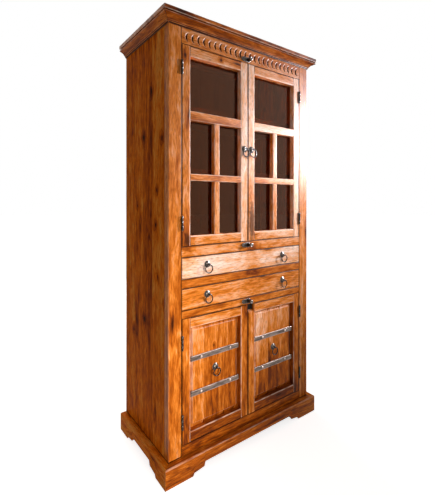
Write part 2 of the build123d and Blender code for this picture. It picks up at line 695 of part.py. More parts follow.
ROSETTE = hammered(
    [(ROSETTE_RADIUS, 0), (ROSETTE_RADIUS, ROSETTE_RIM)]
    + shoulders(ROSETTE_RADIUS, ROSETTE_HEIGHT, ROSETTE_SHOULDERS),
    ROSETTE_SIDES,
)
NAIL = hammered(
    [(NAIL_RADIUS, -STRAP_THICKNESS / 2)] + shoulders(NAIL_RADIUS, NAIL_HEIGHT, NAIL_SHOULDERS), NAIL_SIDES
)


def pull_plate(x, z, face):
    """A domed rosette with the eye that carries the ring, on a face at the given depth."""
    rosette = on_face(ROSETTE, x, face, z)
    stem = rod_y(x, z, face - EYE_REACH, face - ROSETTE_HEIGHT + 1, EYE_STEM_RADIUS)
    eye = rod_x(x - EYE_WIDTH / 2, x + EYE_WIDTH / 2, face - EYE_REACH, z, EYE_RADIUS)
    hole = rod_x(x - EYE_WIDTH, x + EYE_WIDTH, face - EYE_REACH, z, EYE_HOLE_RADIUS)
    return rosette + stem + eye - hole


def bent_ring():
    """A ring in the front plane: a faceted bar, bent round in short straight runs."""
    step = 360 / RING_SEGMENTS
    section = Pos(RING_RADIUS, 0, 0) * Plane.XZ * RegularPolygon(RING_BAR_RADIUS, side_count=RING_SIDES)
    reach = 2 * RING_RADIUS
    side = reach * math.tan(math.radians(step / 2))
    wedge = prism([(0, 0), (reach, -side), (reach, side)], -RING_RADIUS, RING_RADIUS)
    run = extrude(section, RING_RADIUS, both=True) & wedge
    return Rot(90, 0, 0) * (run + [Rot(0, 0, k * step) * run for k in range(1, RING_SEGMENTS)])


RING = bent_ring()


def pull_ring(x, z, face):
    """The ring, hanging from the eye's centre."""
    return Pos(x, FRONT_Y + face - EYE_REACH, z - RING_RADIUS) * RING


UPPER_PULL = (DOOR_MEETING + STILE_WIDTH / 2, WAIST_TOP + UPPER_PULL_RISE, 0)
LOWER_PULL = (DOOR_CENTRE, STRAP_CENTRE + LOWER_PULL_RISE, PANEL_FIELD_DEPTH)


def drawer_pull_level(bottom):
    """The height of a drawer's eyes."""
    return bottom + DRAWER_OPENING / 2 + DRAWER_PULL_RISE


# ---------------------------------------------------------------- straps, strike and latches
def left_straps():
    """Two flat iron straps on the left panel, each with two dome nails."""
    x0 = -PANE_OUTER + STRAP_END_GAP
    x1 = -PANE_MEETING - STRAP_END_GAP
    front = PANEL_FIELD_DEPTH - STRAP_THICKNESS
    straps = []
    for sign in (-1, 1):
        z = STRAP_CENTRE + sign * STRAP_PITCH / 2
        bar = timber(x0, x1, front, PANEL_FIELD_DEPTH, z - STRAP_WIDTH / 2, z + STRAP_WIDTH / 2)
        bar = chamfer(bar.faces().sort_by(Axis.Y)[0].edges(), STRAP_EDGE_CHAMFER)
        for side in (-1, 1):
            bar += on_face(NAIL, -DOOR_CENTRE + side * STRAP_NAIL_OFFSET, front, z)
        straps.append(bar)
    return straps


REBATE_TOP = LOWER_DOOR_HEAD - DOOR_GAP


def latch_rebate():
    """The rebate at the meeting corner of the lower right door."""
    return timber(
        DOOR_MEETING - 1, DOOR_MEETING + LATCH_REBATE_WIDTH, -1, LATCH_REBATE_DEPTH,
        REBATE_TOP - LATCH_REBATE_HEIGHT, REBATE_TOP + 1
    )


def strike_plate():
    """The thin iron plate that lines the rebate's back."""
    return timber(
        DOOR_MEETING, DOOR_MEETING + LATCH_REBATE_WIDTH,
        LATCH_REBATE_DEPTH - STRIKE_THICKNESS, LATCH_REBATE_DEPTH,
        REBATE_TOP - LATCH_REBATE_HEIGHT, REBATE_TOP
    )


def turn_latch(z):
    """A turn latch: a rounded tongue that points left, a dimpled peg, and the pivot in the rail."""
    half = LATCH_WIDTH / 2
    tip = half * LATCH_TAPER
    reach = LATCH_REACH - tip
    heel = arc_points(0, 0, half, 90, -90, ROUND_SIDES // 2)
    toe = arc_points(-reach, 0, tip, -90, -270, ROUND_SIDES // 2)
    outline = make_face(Polyline(*(heel + toe), close=True))
    back = FRONT_Y - LATCH_STANDOFF
    plane = Plane((0, back, z), x_dir=(1, 0, 0), z_dir=(0, -1, 0))
    tongue = extrude(plane * outline, LATCH_THICKNESS)
    d0 = -LATCH_STANDOFF - LATCH_THICKNESS
    shoulder = LATCH_PEG_LENGTH - LATCH_PEG_CHAMFER
    rim = LATCH_PEG_RADIUS - LATCH_PEG_CHAMFER
    outside = [(LATCH_PEG_RADIUS, 0), (LATCH_PEG_RADIUS, shoulder), (rim, LATCH_PEG_LENGTH)]
    peg = hammered(outside, ROUND_SIDES)
    floor = LATCH_PEG_LENGTH - LATCH_DIMPLE_DEPTH
    peg -= hammered([(LATCH_DIMPLE_RADIUS / 2, floor), (LATCH_DIMPLE_RADIUS, LATCH_PEG_LENGTH)], ROUND_SIDES)
    peg = on_face(peg, 0, d0, z)
    pivot = rod_y(0, z, -LATCH_STANDOFF, LATCH_PIVOT_LENGTH, LATCH_PIVOT_RADIUS)
    return tongue + peg + pivot


# ---------------------------------------------------------------- the whole cabinet
def add_carcass(nodes):
    """The fixed frame, boards, crown and plinth."""
    nodes["side_panel_left"] = left_side()
    nodes["side_panel_right"] = flipped(nodes["side_panel_left"])
    nodes["back_panel"] = back_panel()
    nodes["front_post_left"] = left_post()
    nodes["front_post_right"] = flipped(nodes["front_post_left"])
    nodes["sill_rail"] = frame_rail("sill_rail")
    nodes["lower_head_rail"] = pivot_hole(frame_rail("lower_head_rail"), "latch_lower_head")
    nodes["drawer_divider_rail"] = frame_rail("drawer_divider_rail")
    nodes["waist_rail"] = pivot_hole(frame_rail("waist_rail"), "latch_waist")
    nodes["frieze_rail"] = pivot_hole(carved_frieze(), "latch_frieze")
    nodes["crown_top"] = crown_top()
    nodes["crown_front"] = crown_front()
    nodes["crown_left"] = crown_left()
    nodes["crown_right"] = flipped(nodes["crown_left"])
    nodes["plinth_front"] = plinth_front()
    nodes["plinth_left"] = plinth_left()
    nodes["plinth_right"] = flipped(nodes["plinth_left"])


def add_insides(nodes):
    """Floors, shelves, cleats and drawer runners."""
    nodes["floor_board"] = inside_board(SILL_TOP + DOOR_STOP_LIP, FRAME_DEPTH)
    nodes["lower_shelf"] = inside_board(LOWER_SHELF_TOP, FRAME_DEPTH + SHELF_SETBACK)
    nodes["drawer_bay_floor"] = inside_board(LOWER_HEAD_TOP, FRAME_DEPTH)
    nodes["waist_board"] = inside_board(WAIST_TOP + DOOR_STOP_LIP, FRAME_DEPTH)
    shelves = [inside_board(top, FRAME_DEPTH + SHELF_SETBACK) for top in SHELF_TOPS]
    nodes["upper_shelves"] = Compound(children=shelves)
    cleats = []
    for top in SHELF_TOPS + (LOWER_SHELF_TOP,):
        for side in (-1, 1):
            z1 = top - BOARD_THICKNESS
            cleats.append(timber(
                side * HALF_INSIDE, side * (HALF_INSIDE - CLEAT), FRAME_DEPTH + SHELF_SETBACK, INSIDE_DEPTH,
                z1 - CLEAT, z1
            ))
    nodes["shelf_cleats"] = Compound(children=cleats)
    runners = [runner(DIVIDER_TOP, side) for side in (-1, 1)]
    runners += [bay_guide(LOWER_HEAD_TOP, side) for side in (-1, 1)]
    nodes["drawer_runners"] = Compound(children=runners)
    fixed = []
    for level in HINGE_LEVELS:
        for piece in fixed_hinge(level):
            fixed += [piece, flipped(piece)]
    nodes["hinge_fixed_leaves"] = Compound(children=fixed)


def add_upper_doors(nodes):
    """The glazed pair."""
    frame = left_door_frame(WAIST_TOP, UPPER_DOOR_HEAD, (GLASS_DEPTH, DOOR_THICKNESS + 1), REBATE_WIDTH)
    levels = hinge_heights(WAIST_TOP, UPPER_DOOR_HEAD)
    x, z, face = UPPER_PULL
    left = {
        "frame": list(frame.values()),
        "bars": left_glazing_bars(),
        "glass": [left_glass()],
        "beads": left_beads(),
        "ironwork": [door_hinge(level) for level in levels] + [pull_plate(-x, z, face)],
    }
    for name, solids in left.items():
        nodes["upper_left_door_" + name] = Compound(children=solids)
        nodes["upper_right_door_" + name] = Compound(children=[flipped(s) for s in solids])
    nodes["upper_left_door_ring"] = pull_ring(-x, z, face)
    nodes["upper_right_door_ring"] = pull_ring(x, z, face)


def add_lower_doors(nodes):
    """The panelled pair; the right one has the latch rebate with its strike plate."""
    groove = (PANEL_GROOVE_DEPTH, PANEL_GROOVE_DEPTH + PANEL_GROOVE_WIDTH)
    frame = left_door_frame(SILL_TOP, LOWER_DOOR_HEAD, groove, PANEL_GROOVE_REACH)
    levels = hinge_heights(SILL_TOP, LOWER_DOOR_HEAD)
    x, z, face = LOWER_PULL
    right = {key: flipped(solid) for key, solid in frame.items()}
    right["meeting"] -= latch_rebate()
    ironwork = [door_hinge(level) for level in levels] + [pull_plate(-x, z, face)]
    straps = left_straps()
    panel = left_panel()
    nodes["lower_left_door_frame"] = Compound(children=list(frame.values()))
    nodes["lower_right_door_frame"] = Compound(children=list(right.values()))
    nodes["lower_left_door_panel"] = panel
    nodes["lower_right_door_panel"] = flipped(panel)
    nodes["lower_left_door_straps"] = Compound(children=straps)
    nodes["lower_right_door_straps"] = Compound(children=[flipped(s) for s in straps])
    nodes["lower_left_door_ironwork"] = Compound(children=ironwork)
    nodes["lower_right_door_ironwork"] = Compound(children=[flipped(s) for s in ironwork] + [strike_plate()])
    nodes["lower_left_door_ring"] = pull_ring(-x, z, face)
    nodes["lower_right_door_ring"] = pull_ring(x, z, face)


def add_drawers(nodes):
    """Two drawers, each with two pulls."""
    for name, bottom in (("upper_drawer", DIVIDER_TOP), ("lower_drawer", LOWER_HEAD_TOP)):
        level = drawer_pull_level(bottom)
        places = {"left": -DRAWER_PULL_OFFSET, "right": DRAWER_PULL_OFFSET}
        nodes[name + "_front"] = drawer_front(bottom)
        nodes[name + "_box"] = Compound(children=drawer_box(bottom))
        nodes[name + "_pull_plates"] = Compound(children=[pull_plate(x, level, 0) for x in places.values()])
        for side, x in places.items():
            nodes[name + "_ring_" + side] = pull_ring(x, level, 0)


def build():
    """Every node of the cabinet, by name."""
    nodes = {}
    add_carcass(nodes)
    add_insides(nodes)
    add_upper_doors(nodes)
    add_lower_doors(nodes)
    add_drawers(nodes)
    for name, z in LATCH_HEIGHTS.items():
        nodes[name] = turn_latch(z)
    return nodes


os.makedirs("parts", exist_ok=True)
for node_name, shape in build().items():
    export_step(shape, os.path.join("parts", node_name + ".step"))
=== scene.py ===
"""A two-stage trastero cupboard, dressed for a studio portrait.

Every board, moulding and forged fitting is worked here from the places of the frame's own nodes,
and every finish is made of nodes. Lengths are in metres, written as millimetres times MM.
"""
import logging
import math
import random
from dataclasses import dataclass, field
from enum import Enum
from typing import Callable, Iterable, Mapping, Optional, Sequence, Union

import bmesh
import bpy
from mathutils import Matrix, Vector, noise


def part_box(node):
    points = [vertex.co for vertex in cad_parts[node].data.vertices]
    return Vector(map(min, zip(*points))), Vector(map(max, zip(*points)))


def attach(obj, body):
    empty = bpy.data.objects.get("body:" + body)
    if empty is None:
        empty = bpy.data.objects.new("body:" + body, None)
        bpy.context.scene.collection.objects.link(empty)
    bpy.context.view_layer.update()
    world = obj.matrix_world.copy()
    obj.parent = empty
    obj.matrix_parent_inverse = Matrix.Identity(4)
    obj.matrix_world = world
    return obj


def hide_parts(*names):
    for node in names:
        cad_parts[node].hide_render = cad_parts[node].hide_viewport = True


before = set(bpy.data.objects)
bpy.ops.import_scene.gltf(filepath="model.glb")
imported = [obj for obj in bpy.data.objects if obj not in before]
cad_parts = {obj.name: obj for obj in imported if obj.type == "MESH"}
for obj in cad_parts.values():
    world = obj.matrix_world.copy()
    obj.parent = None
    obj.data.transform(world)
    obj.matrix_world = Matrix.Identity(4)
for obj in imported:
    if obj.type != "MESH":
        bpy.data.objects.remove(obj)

LOG = logging.getLogger("trastero")
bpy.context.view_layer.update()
MM = 0.001
IMAGE_HEIGHT = 495
SLIVER = 0.05 * MM  # the width of a face that stands in for a square step
SHARP_ANGLE = 58.0  # degrees between faces, from which an edge is drawn sharp
UP, FRONTWARD = Vector((0, 0, 1)), Vector((0, -1, 0))

Pair = tuple[float, float]
Triple = tuple[float, float, float]
Material = bpy.types.Material
Tree = bpy.types.NodeTree
Socket = bpy.types.NodeSocket


class Axis(Enum):
    """A direction of the cupboard: across it, from front to back, and up."""

    X = 0
    Y = 1
    Z = 2


class Side(Enum):
    """The two sides of the cupboard, by the sign of X."""

    LEFT = -1
    RIGHT = 1

    def word(self) -> str:
        """The side's name as the nodes spell it."""
        return self.name.lower()


# ---------------------------------------------------------------- colours and nodes
def linear(hex_colour: str, alpha: float = 1.0) -> tuple[float, float, float, float]:
    """Turns an sRGB hex colour to linear light.

    Args:
        hex_colour: Six hex digits after a hash.
        alpha: The fourth value of the colour.

    Returns:
        Red, green, blue and alpha.
    """
    channels = [int(hex_colour[k:k + 2], 16) / 255 for k in (1, 3, 5)]
    red, green, blue = (c / 12.92 if c <= 0.04045 else ((c + 0.055) / 1.055) ** 2.4 for c in channels)
    return red, green, blue, alpha


def add(
    tree: Tree,
    kind: str,
    inputs: Optional[Mapping[Union[str, int], object]] = None,
    stops: Sequence[tuple[float, str]] = (),
    **settings: object,
) -> bpy.types.Node:
    """Adds a node with its settings and links.

    Args:
        tree: The tree that gets the node.
        kind: The node's type.
        inputs: For each input, by name or number, a value, a socket, or a node whose first output goes in.
        stops: Places and colours of a colour ramp.
        **settings: The node's own properties.

    Returns:
        The new node.
    """
    node = tree.nodes.new(kind)
    for key, value in settings.items():
        setattr(node, key, value)
    for key, value in (inputs or {}).items():
        if isinstance(value, bpy.types.Node):
            value = value.outputs[0]
        if isinstance(value, Socket):
            tree.links.new(value, node.inputs[key])
        else:
            node.inputs[key].default_value = value
    if stops:
        elements = node.color_ramp.elements
        while len(elements) < len(stops):
            elements.new(0.5)
        for element, (place, colour) in zip(elements, stops):
            element.position = place
            element.color = linear(colour)
    return node


def maths(tree: Tree, operation: str, *values: object, clamp: bool = False) -> Socket:
    """Adds a sum.

    Args:
        tree: The tree that gets it.
        operation: What it works out.
        *values: What it works on, in order.
        clamp: Whether the result stays between 0 and 1.

    Returns:
        The result.
    """
    inputs = dict(enumerate(values))
    return add(tree, "ShaderNodeMath", inputs, operation=operation, use_clamp=clamp).outputs[0]


def vector_maths(tree: Tree, operation: str, *values: object) -> Socket:
    """Adds a sum of places or directions.

    Args:
        tree: The tree that gets it.
        operation: What it works out.
        *values: What it works on, in order.

    Returns:
        The result, which is a plain number for a length.
    """
    node = add(tree, "ShaderNodeVectorMath", dict(enumerate(values)), operation=operation)
    return node.outputs["Value" if operation == "LENGTH" else "Vector"]


def remap(tree: Tree, value: object, given: Pair, wanted: Pair, smooth: bool = False) -> Socket:
    """Adds a change of range, with the ends held.

    Args:
        tree: The tree that gets it.
        value: What is changed.
        given: The range that it comes in.
        wanted: The range that it goes out in.
        smooth: Whether it eases in and out.

    Returns:
        The result.
    """
    ends = dict(enumerate((value, *given, *wanted)))
    kind = "SMOOTHSTEP" if smooth else "LINEAR"
    return add(tree, "ShaderNodeMapRange", ends, interpolation_type=kind).outputs[0]


def in_view(tree: Tree) -> Socket:
    """Adds a test for the rays that show a thing: straight, mirrored or through glass.

    Args:
        tree: The tree that gets it.

    Returns:
        1 for those rays and 0 for the light that they bring.
    """
    path = add(tree, "ShaderNodeLightPath").outputs
    straight = maths(tree, "MAXIMUM", path["Is Camera Ray"], path["Is Glossy Ray"])
    return maths(tree, "MAXIMUM", straight, path["Is Transmission Ray"])


def new_material(name: str) -> tuple[Material, Tree]:
    """Makes an empty node material.

    Args:
        name: The material's name.

    Returns:
        The material and its tree, with no node in it.
    """
    material = bpy.data.materials.new(name)
    material.use_nodes = True
    material.node_tree.nodes.clear()
    return material, material.node_tree


# ---------------------------------------------------------------- finishes
@dataclass(frozen=True)
class Knot:
    """A knot, or a dark streak of heartwood, that goes straight through a board.

    The centre is in metres; through is the axis that it follows, and slim its width over its height.
    """

    centre: Triple
    radius: float
    through: Axis
    slim: float = 0.62
    darkness: float = 0.9


@dataclass(frozen=True)
class VarnishedAcacia:
    """Acacia, planed by hand, stained and varnished.

    The eye gets soft mottling and streaks of honey and brown along each board, fine fibres, faint
    growth rings, a few dark knots, arrises rubbed back to paler wood that partly paint highlights,
    painted shade in gaps, hollows and cuts, and a satin gloss.
    """

    name: str
    dark: str
    brown: str
    honey: str
    pale: str
    # The palest stop: bleached wood, and painted glare on boards that are toned high.
    bleached: str
    worn: str
    knot: str
    sheen: str = "#FFCBA8"
    roughness: float = 0.36
    gloss: float = 0.14
    figure: float = 1.0
    wear: float = 0.8
    ring_spacing: float = 13.0 * MM
    streak_width: float = 34.0 * MM
    mottle_width: float = 30.0 * MM
    fibre_width: float = 4.2 * MM
    drift: float = 45.0 * MM
    swerve: float = 20.0 * MM
    relief: float = 0.45 * MM
    knots: tuple[Knot, ...] = ()

    def build(self) -> Material:
        """Makes the material.

        Returns:
            The material, which reads the grain, tone and wear of each board.
        """
        material, tree = new_material(self.name)
        place = add(tree, "ShaderNodeAttribute", attribute_name="grain").outputs["Vector"]
        tone = add(tree, "ShaderNodeAttribute", attribute_name="tone").outputs["Fac"]
        wear = add(tree, "ShaderNodeAttribute", attribute_name="wear").outputs["Fac"]
        halo, core = self._knots(tree, place)

        # A slow drift bends the grain by up to half its reach to each side, and it swerves round the knots.
        drift = vector_maths(tree, "MULTIPLY", place, (2.6, 7.0, 7.0))
        drift = add(tree, "ShaderNodeTexNoise", {"Vector": drift, "Scale": 1.0, "Detail": 2.0})
        drift = vector_maths(tree, "SUBTRACT", drift.outputs["Color"], (0.5, 0.5, 0.5))
        place = vector_maths(tree, "MULTIPLY_ADD", drift, (0.0, self.drift, self.drift), place)
        parts = add(tree, "ShaderNodeSeparateXYZ", {0: place})
        disc = add(tree, "ShaderNodeCombineXYZ", {1: parts.outputs[1], 2: parts.outputs[2]})
        radius = vector_maths(tree, "LENGTH", disc)
        radius = maths(tree, "MULTIPLY_ADD", halo, self.swerve, radius)
        year = maths(tree, "FRACT", maths(tree, "MULTIPLY", radius, 1 / self.ring_spacing))
        rings = add(
            tree, "ShaderNodeValToRGB", {0: year},
            stops=((0.0, "#BBBBBB"), (0.45, "#C6C6C6"), (0.82, "#606060"), (0.90, "#525252"),
                   (1.0, "#BBBBBB")),
        ).outputs["Color"]

        wide, mild, fine = self.streak_width / MM, self.mottle_width / MM, self.fibre_width / MM
        streak = self._noise(tree, place, (1 / 700, 0.8 / wide, 0.8 / wide), detail=2.0)
        band = self._noise(tree, place, (1 / 260, 2.2 / wide, 2.2 / wide), detail=3.0, swirl=0.5)
        cloud = self._noise(tree, place, (0.36 / mild, 1 / mild, 1 / mild), detail=4.0, swirl=0.8)
        fibre = self._noise(tree, place, (1 / 45, 1 / fine, 1 / fine), detail=4.0)
        shade = maths(tree, "ADD", tone, 0.5)
        for source, share in ((streak, 0.48), (band, 0.30), (cloud, 0.46), (rings, 0.14), (fibre, 0.50)):
            middle = maths(tree, "SUBTRACT", source, 0.5)
            shade = maths(tree, "MULTIPLY_ADD", middle, share * self.figure, shade)
        shade = maths(tree, "MULTIPLY_ADD", halo, -0.22, shade)
        wood = add(
            tree, "ShaderNodeValToRGB", {0: shade},
            stops=((0.20, self.dark), (0.38, self.brown), (0.54, self.honey), (0.74, self.pale),
                   (0.96, self.bleached)),
        ).outputs["Color"]

        # Open pores: short dark dashes along the grain, drawn 3 mm wide so that they show.
        pore = self._noise(tree, place, (1 / 22, 1 / 3, 1 / 3), detail=2.0)
        pore = remap(tree, pore, (0.52, 0.70), (0.0, 0.50))
        wood = self._mix(tree, pore, wood, self.dark)
        wood = self._mix(tree, core, wood, self.knot)

        # The arrises are rubbed through in patches of 20 to 60 mm, and the paler wood there is partly a
        # painted highlight; below zero, wear paints shade into gaps, hollows and cuts with the knot colour.
        patch = self._noise(tree, place, (1 / 45, 1 / 30, 1 / 30), detail=3.0)
        patch = remap(tree, patch, (0.38, 0.62), (0.25, 1.0))
        rubbed = maths(tree, "MULTIPLY", wear, patch)
        rubbed = maths(tree, "MULTIPLY", rubbed, self.wear, clamp=True)
        wood = self._mix(tree, rubbed, wood, self.worn)
        # Painted shade: below zero, wear lays the knot colour into gaps, hollows and cuts.
        painted_gap_shade = maths(tree, "MULTIPLY", wear, -0.9, clamp=True)
        wood = self._mix(tree, painted_gap_shade, wood, self.knot)

        rough = remap(tree, cloud, (0.3, 0.7), (self.roughness - 0.05, self.roughness + 0.08))
        ripple = self._noise(tree, place, (1 / 60, 1 / 26, 1 / 26), detail=1.0)
        height = maths(tree, "MULTIPLY_ADD", fibre, 0.35, ripple)
        height = maths(tree, "MULTIPLY_ADD", pore, -0.5, height)
        bump = add(tree, "ShaderNodeBump", {"Strength": 0.55, "Distance": self.relief, "Height": height})
        surface = add(tree, "ShaderNodeBsdfPrincipled", {
            "Base Color": wood, "Roughness": rough, "Normal": bump, "Specular IOR Level": self.gloss,
            "Specular Tint": linear(self.sheen),
        })
        add(tree, "ShaderNodeOutputMaterial", {"Surface": surface})
        return material

    @staticmethod
    def _mix(tree: Tree, share: Socket, under: Socket, over: str) -> Socket:
        """Lays a flat colour over another one.

        Args:
            tree: The material's tree.
            share: How much of the flat colour shows.
            under: The colour beneath.
            over: The flat colour.

        Returns:
            The mixed colour.
        """
        return add(tree, "ShaderNodeMix", {0: share, 6: under, 7: linear(over)}, data_type="RGBA").outputs[2]

    @staticmethod
    def _noise(tree: Tree, place: Socket, per_mm: Triple, detail: float, swirl: float = 0.0) -> Socket:
        """Adds a noise that is stretched along the grain.

        Args:
            tree: The material's tree.
            place: The board's own coordinates, in metres.
            per_mm: How many times it changes in a millimetre along, across and through the board.
            detail: The noise's octaves.
            swirl: How much it curls.

        Returns:
            The noise, from 0 to 1.
        """
        stretch = tuple(rate / MM for rate in per_mm)
        place = vector_maths(tree, "MULTIPLY", place, stretch)
        inputs = {"Vector": place, "Scale": 1.0, "Detail": detail, "Distortion": swirl}
        return add(tree, "ShaderNodeTexNoise", inputs).outputs["Fac"]

    def _knots(self, tree: Tree, place: Socket) -> tuple[Socket, Socket]:
        """Adds the knots: small random ones in some boards, and the finish's own named ones.

        Args:
            tree: The material's tree.
            place: The board's own coordinates, in metres.

        Returns:
            The halo in which the grain swerves, and the dark core.
        """
        # One place for a knot in every 420 by 90 mm of face; a third of them are taken.
        spread = vector_maths(tree, "MULTIPLY", place, (1 / 0.42, 1 / 0.09, 0.0))
        cell = add(tree, "ShaderNodeTexVoronoi", {"Vector": spread, "Scale": 1.0}, voronoi_dimensions="2D")
        chosen = add(tree, "ShaderNodeSeparateColor", {0: cell.outputs["Color"]})
        chosen = maths(tree, "GREATER_THAN", chosen, 0.68)
        away = cell.outputs["Distance"]
        halo = maths(tree, "MULTIPLY", remap(tree, away, (0.05, 0.30), (1.0, 0.0), smooth=True), chosen)
        core = maths(tree, "MULTIPLY", remap(tree, away, (0.02, 0.085), (0.85, 0.0), smooth=True), chosen)
        if not self.knots:
            return halo, core
        rest = add(tree, "ShaderNodeTexCoord").outputs["Object"]
        ragged = self._noise(tree, rest, (1 / 14, 1 / 14, 1 / 14), detail=3.0)
        for knot in self.knots:
            stretch = [1.0, 1.0, knot.slim]
            stretch[knot.through.value] = 0.0
            away = vector_maths(tree, "MULTIPLY", vector_maths(tree, "SUBTRACT", rest, knot.centre), stretch)
            away = vector_maths(tree, "LENGTH", away)
            away = maths(tree, "MULTIPLY_ADD", ragged, 0.9 * knot.radius, away)
            r = knot.radius
            near = remap(tree, away, (0.8 * r, 1.5 * r), (knot.darkness, 0.0), smooth=True)
            wide = remap(tree, away, (r, 4.0 * r), (1.0, 0.0), smooth=True)
            core = maths(tree, "MAXIMUM", core, near)
            halo = maths(tree, "MAXIMUM", halo, wide)
        return halo, core


@dataclass(frozen=True)
class ForgedIron:
    """Mild steel, forged by hand, blackened and waxed.

    The eye gets hammer facets a few millimetres wide, a dark scale in the hollows and a dull metallic
    shine where hands and tools have rubbed the edges.
    """

    name: str
    scale: str
    metal: str
    bright: str
    roughness: float = 0.42
    metallic: float = 0.85
    facet: float = 7.0 * MM
    bloom: float = 9.0 * MM
    grit: float = 1.6 * MM
    relief: float = 0.5 * MM
    rub: float = 1.3
    draw: Triple = (1.0, 1.0, 1.0)

    def build(self) -> Material:
        """Makes the material.

        Returns:
            The material, which reads the wear of each edge.
        """
        material, tree = new_material(self.name)
        rest = add(tree, "ShaderNodeTexCoord").outputs["Object"]
        wear = add(tree, "ShaderNodeAttribute", attribute_name="wear").outputs["Fac"]
        drawn = vector_maths(tree, "MULTIPLY", rest, self.draw)
        facets = add(tree, "ShaderNodeTexVoronoi", {"Vector": drawn, "Scale": 1 / self.facet},
                     feature="SMOOTH_F1").outputs["Distance"]
        bloom, grit = (
            add(tree, "ShaderNodeTexNoise", {"Vector": drawn, "Scale": 1 / size, "Detail": detail})
            for size, detail in ((self.bloom, 4.0), (self.grit, 2.0)))
        metal = add(tree, "ShaderNodeValToRGB", {0: bloom},
                    stops=((0.36, self.scale), (0.62, self.metal))).outputs["Color"]
        rubbed = maths(tree, "MULTIPLY", maths(tree, "MULTIPLY", wear, bloom), self.rub, clamp=True)
        metal = add(tree, "ShaderNodeMix", {0: rubbed, 6: metal, 7: linear(self.bright)},
                    data_type="RGBA").outputs[2]
        rough = remap(tree, grit, (0.3, 0.7), (self.roughness - 0.08, self.roughness + 0.14))
        height = maths(tree, "MULTIPLY_ADD", grit, 0.25, facets)
        bump = add(tree, "ShaderNodeBump", {"Strength": 0.6, "Distance": self.relief, "Height": height})
        surface = add(tree, "ShaderNodeBsdfPrincipled", {
            "Base Color": metal, "Roughness": rough, "Normal": bump, "Metallic": self.metallic,
        })
        add(tree, "ShaderNodeOutputMaterial", {"Surface": surface})
        return material


@dataclass(frozen=True)
class SmokedGlass:
    """Drawn window glass with a brown tint.

    The eye gets a dark brown pane with the shelves just showing behind it and a faint ripple in what
    it mirrors.
    """

    name: str
    tint: str
    mirror: str
    roughness: float = 0.04
    gloss: float = 0.5
    ripple: float = 60.0 * MM
    relief: float = 0.3 * MM

    def build(self) -> Material:
        """Makes the material.

        Returns:
            The material; lamps shine through it with its tint.
        """
        material, tree = new_material(self.name)
        rest = add(tree, "ShaderNodeTexCoord").outputs["Object"]
        ripple = add(tree, "ShaderNodeTexNoise", {"Vector": rest, "Scale": 1 / self.ripple, "Detail": 1.0})
        ripple = ripple.outputs["Fac"]
        haze = remap(tree, ripple, (0.3, 0.7), (self.roughness, 2 * self.roughness))
        bump = add(tree, "ShaderNodeBump", {"Strength": 0.25, "Distance": self.relief, "Height": ripple})
        pane = add(tree, "ShaderNodeBsdfPrincipled", {
            "Base Color": linear(self.tint), "Roughness": haze, "Transmission Weight": 1.0, "IOR": 1.5,
            "Specular IOR Level": self.gloss, "Specular Tint": linear(self.mirror), "Normal": bump,
        })
        path = add(tree, "ShaderNodeLightPath")
        clear = add(tree, "ShaderNodeBsdfTransparent", {"Color": linear(self.tint)})
        mixed = add(tree, "ShaderNodeMixShader", {0: path.outputs["Is Shadow Ray"], 1: pane, 2: clear})
        add(tree, "ShaderNodeOutputMaterial", {"Surface": mixed})
        return material


# ---------------------------------------------------------------- worked sections
@dataclass(frozen=True)
class Spot:
    """A point of a section: its place, the way outwards, and how much hands rub it; below zero, how dark the
    painted shade on it is.
    """

    across: float
    through: float
    out: Pair
    wear: float


def unit(dx: float, dy: float) -> Pair:
    """The same direction, one unit long."""
    length = math.hypot(dx, dy) or 1.0
    return dx / length, dy / length


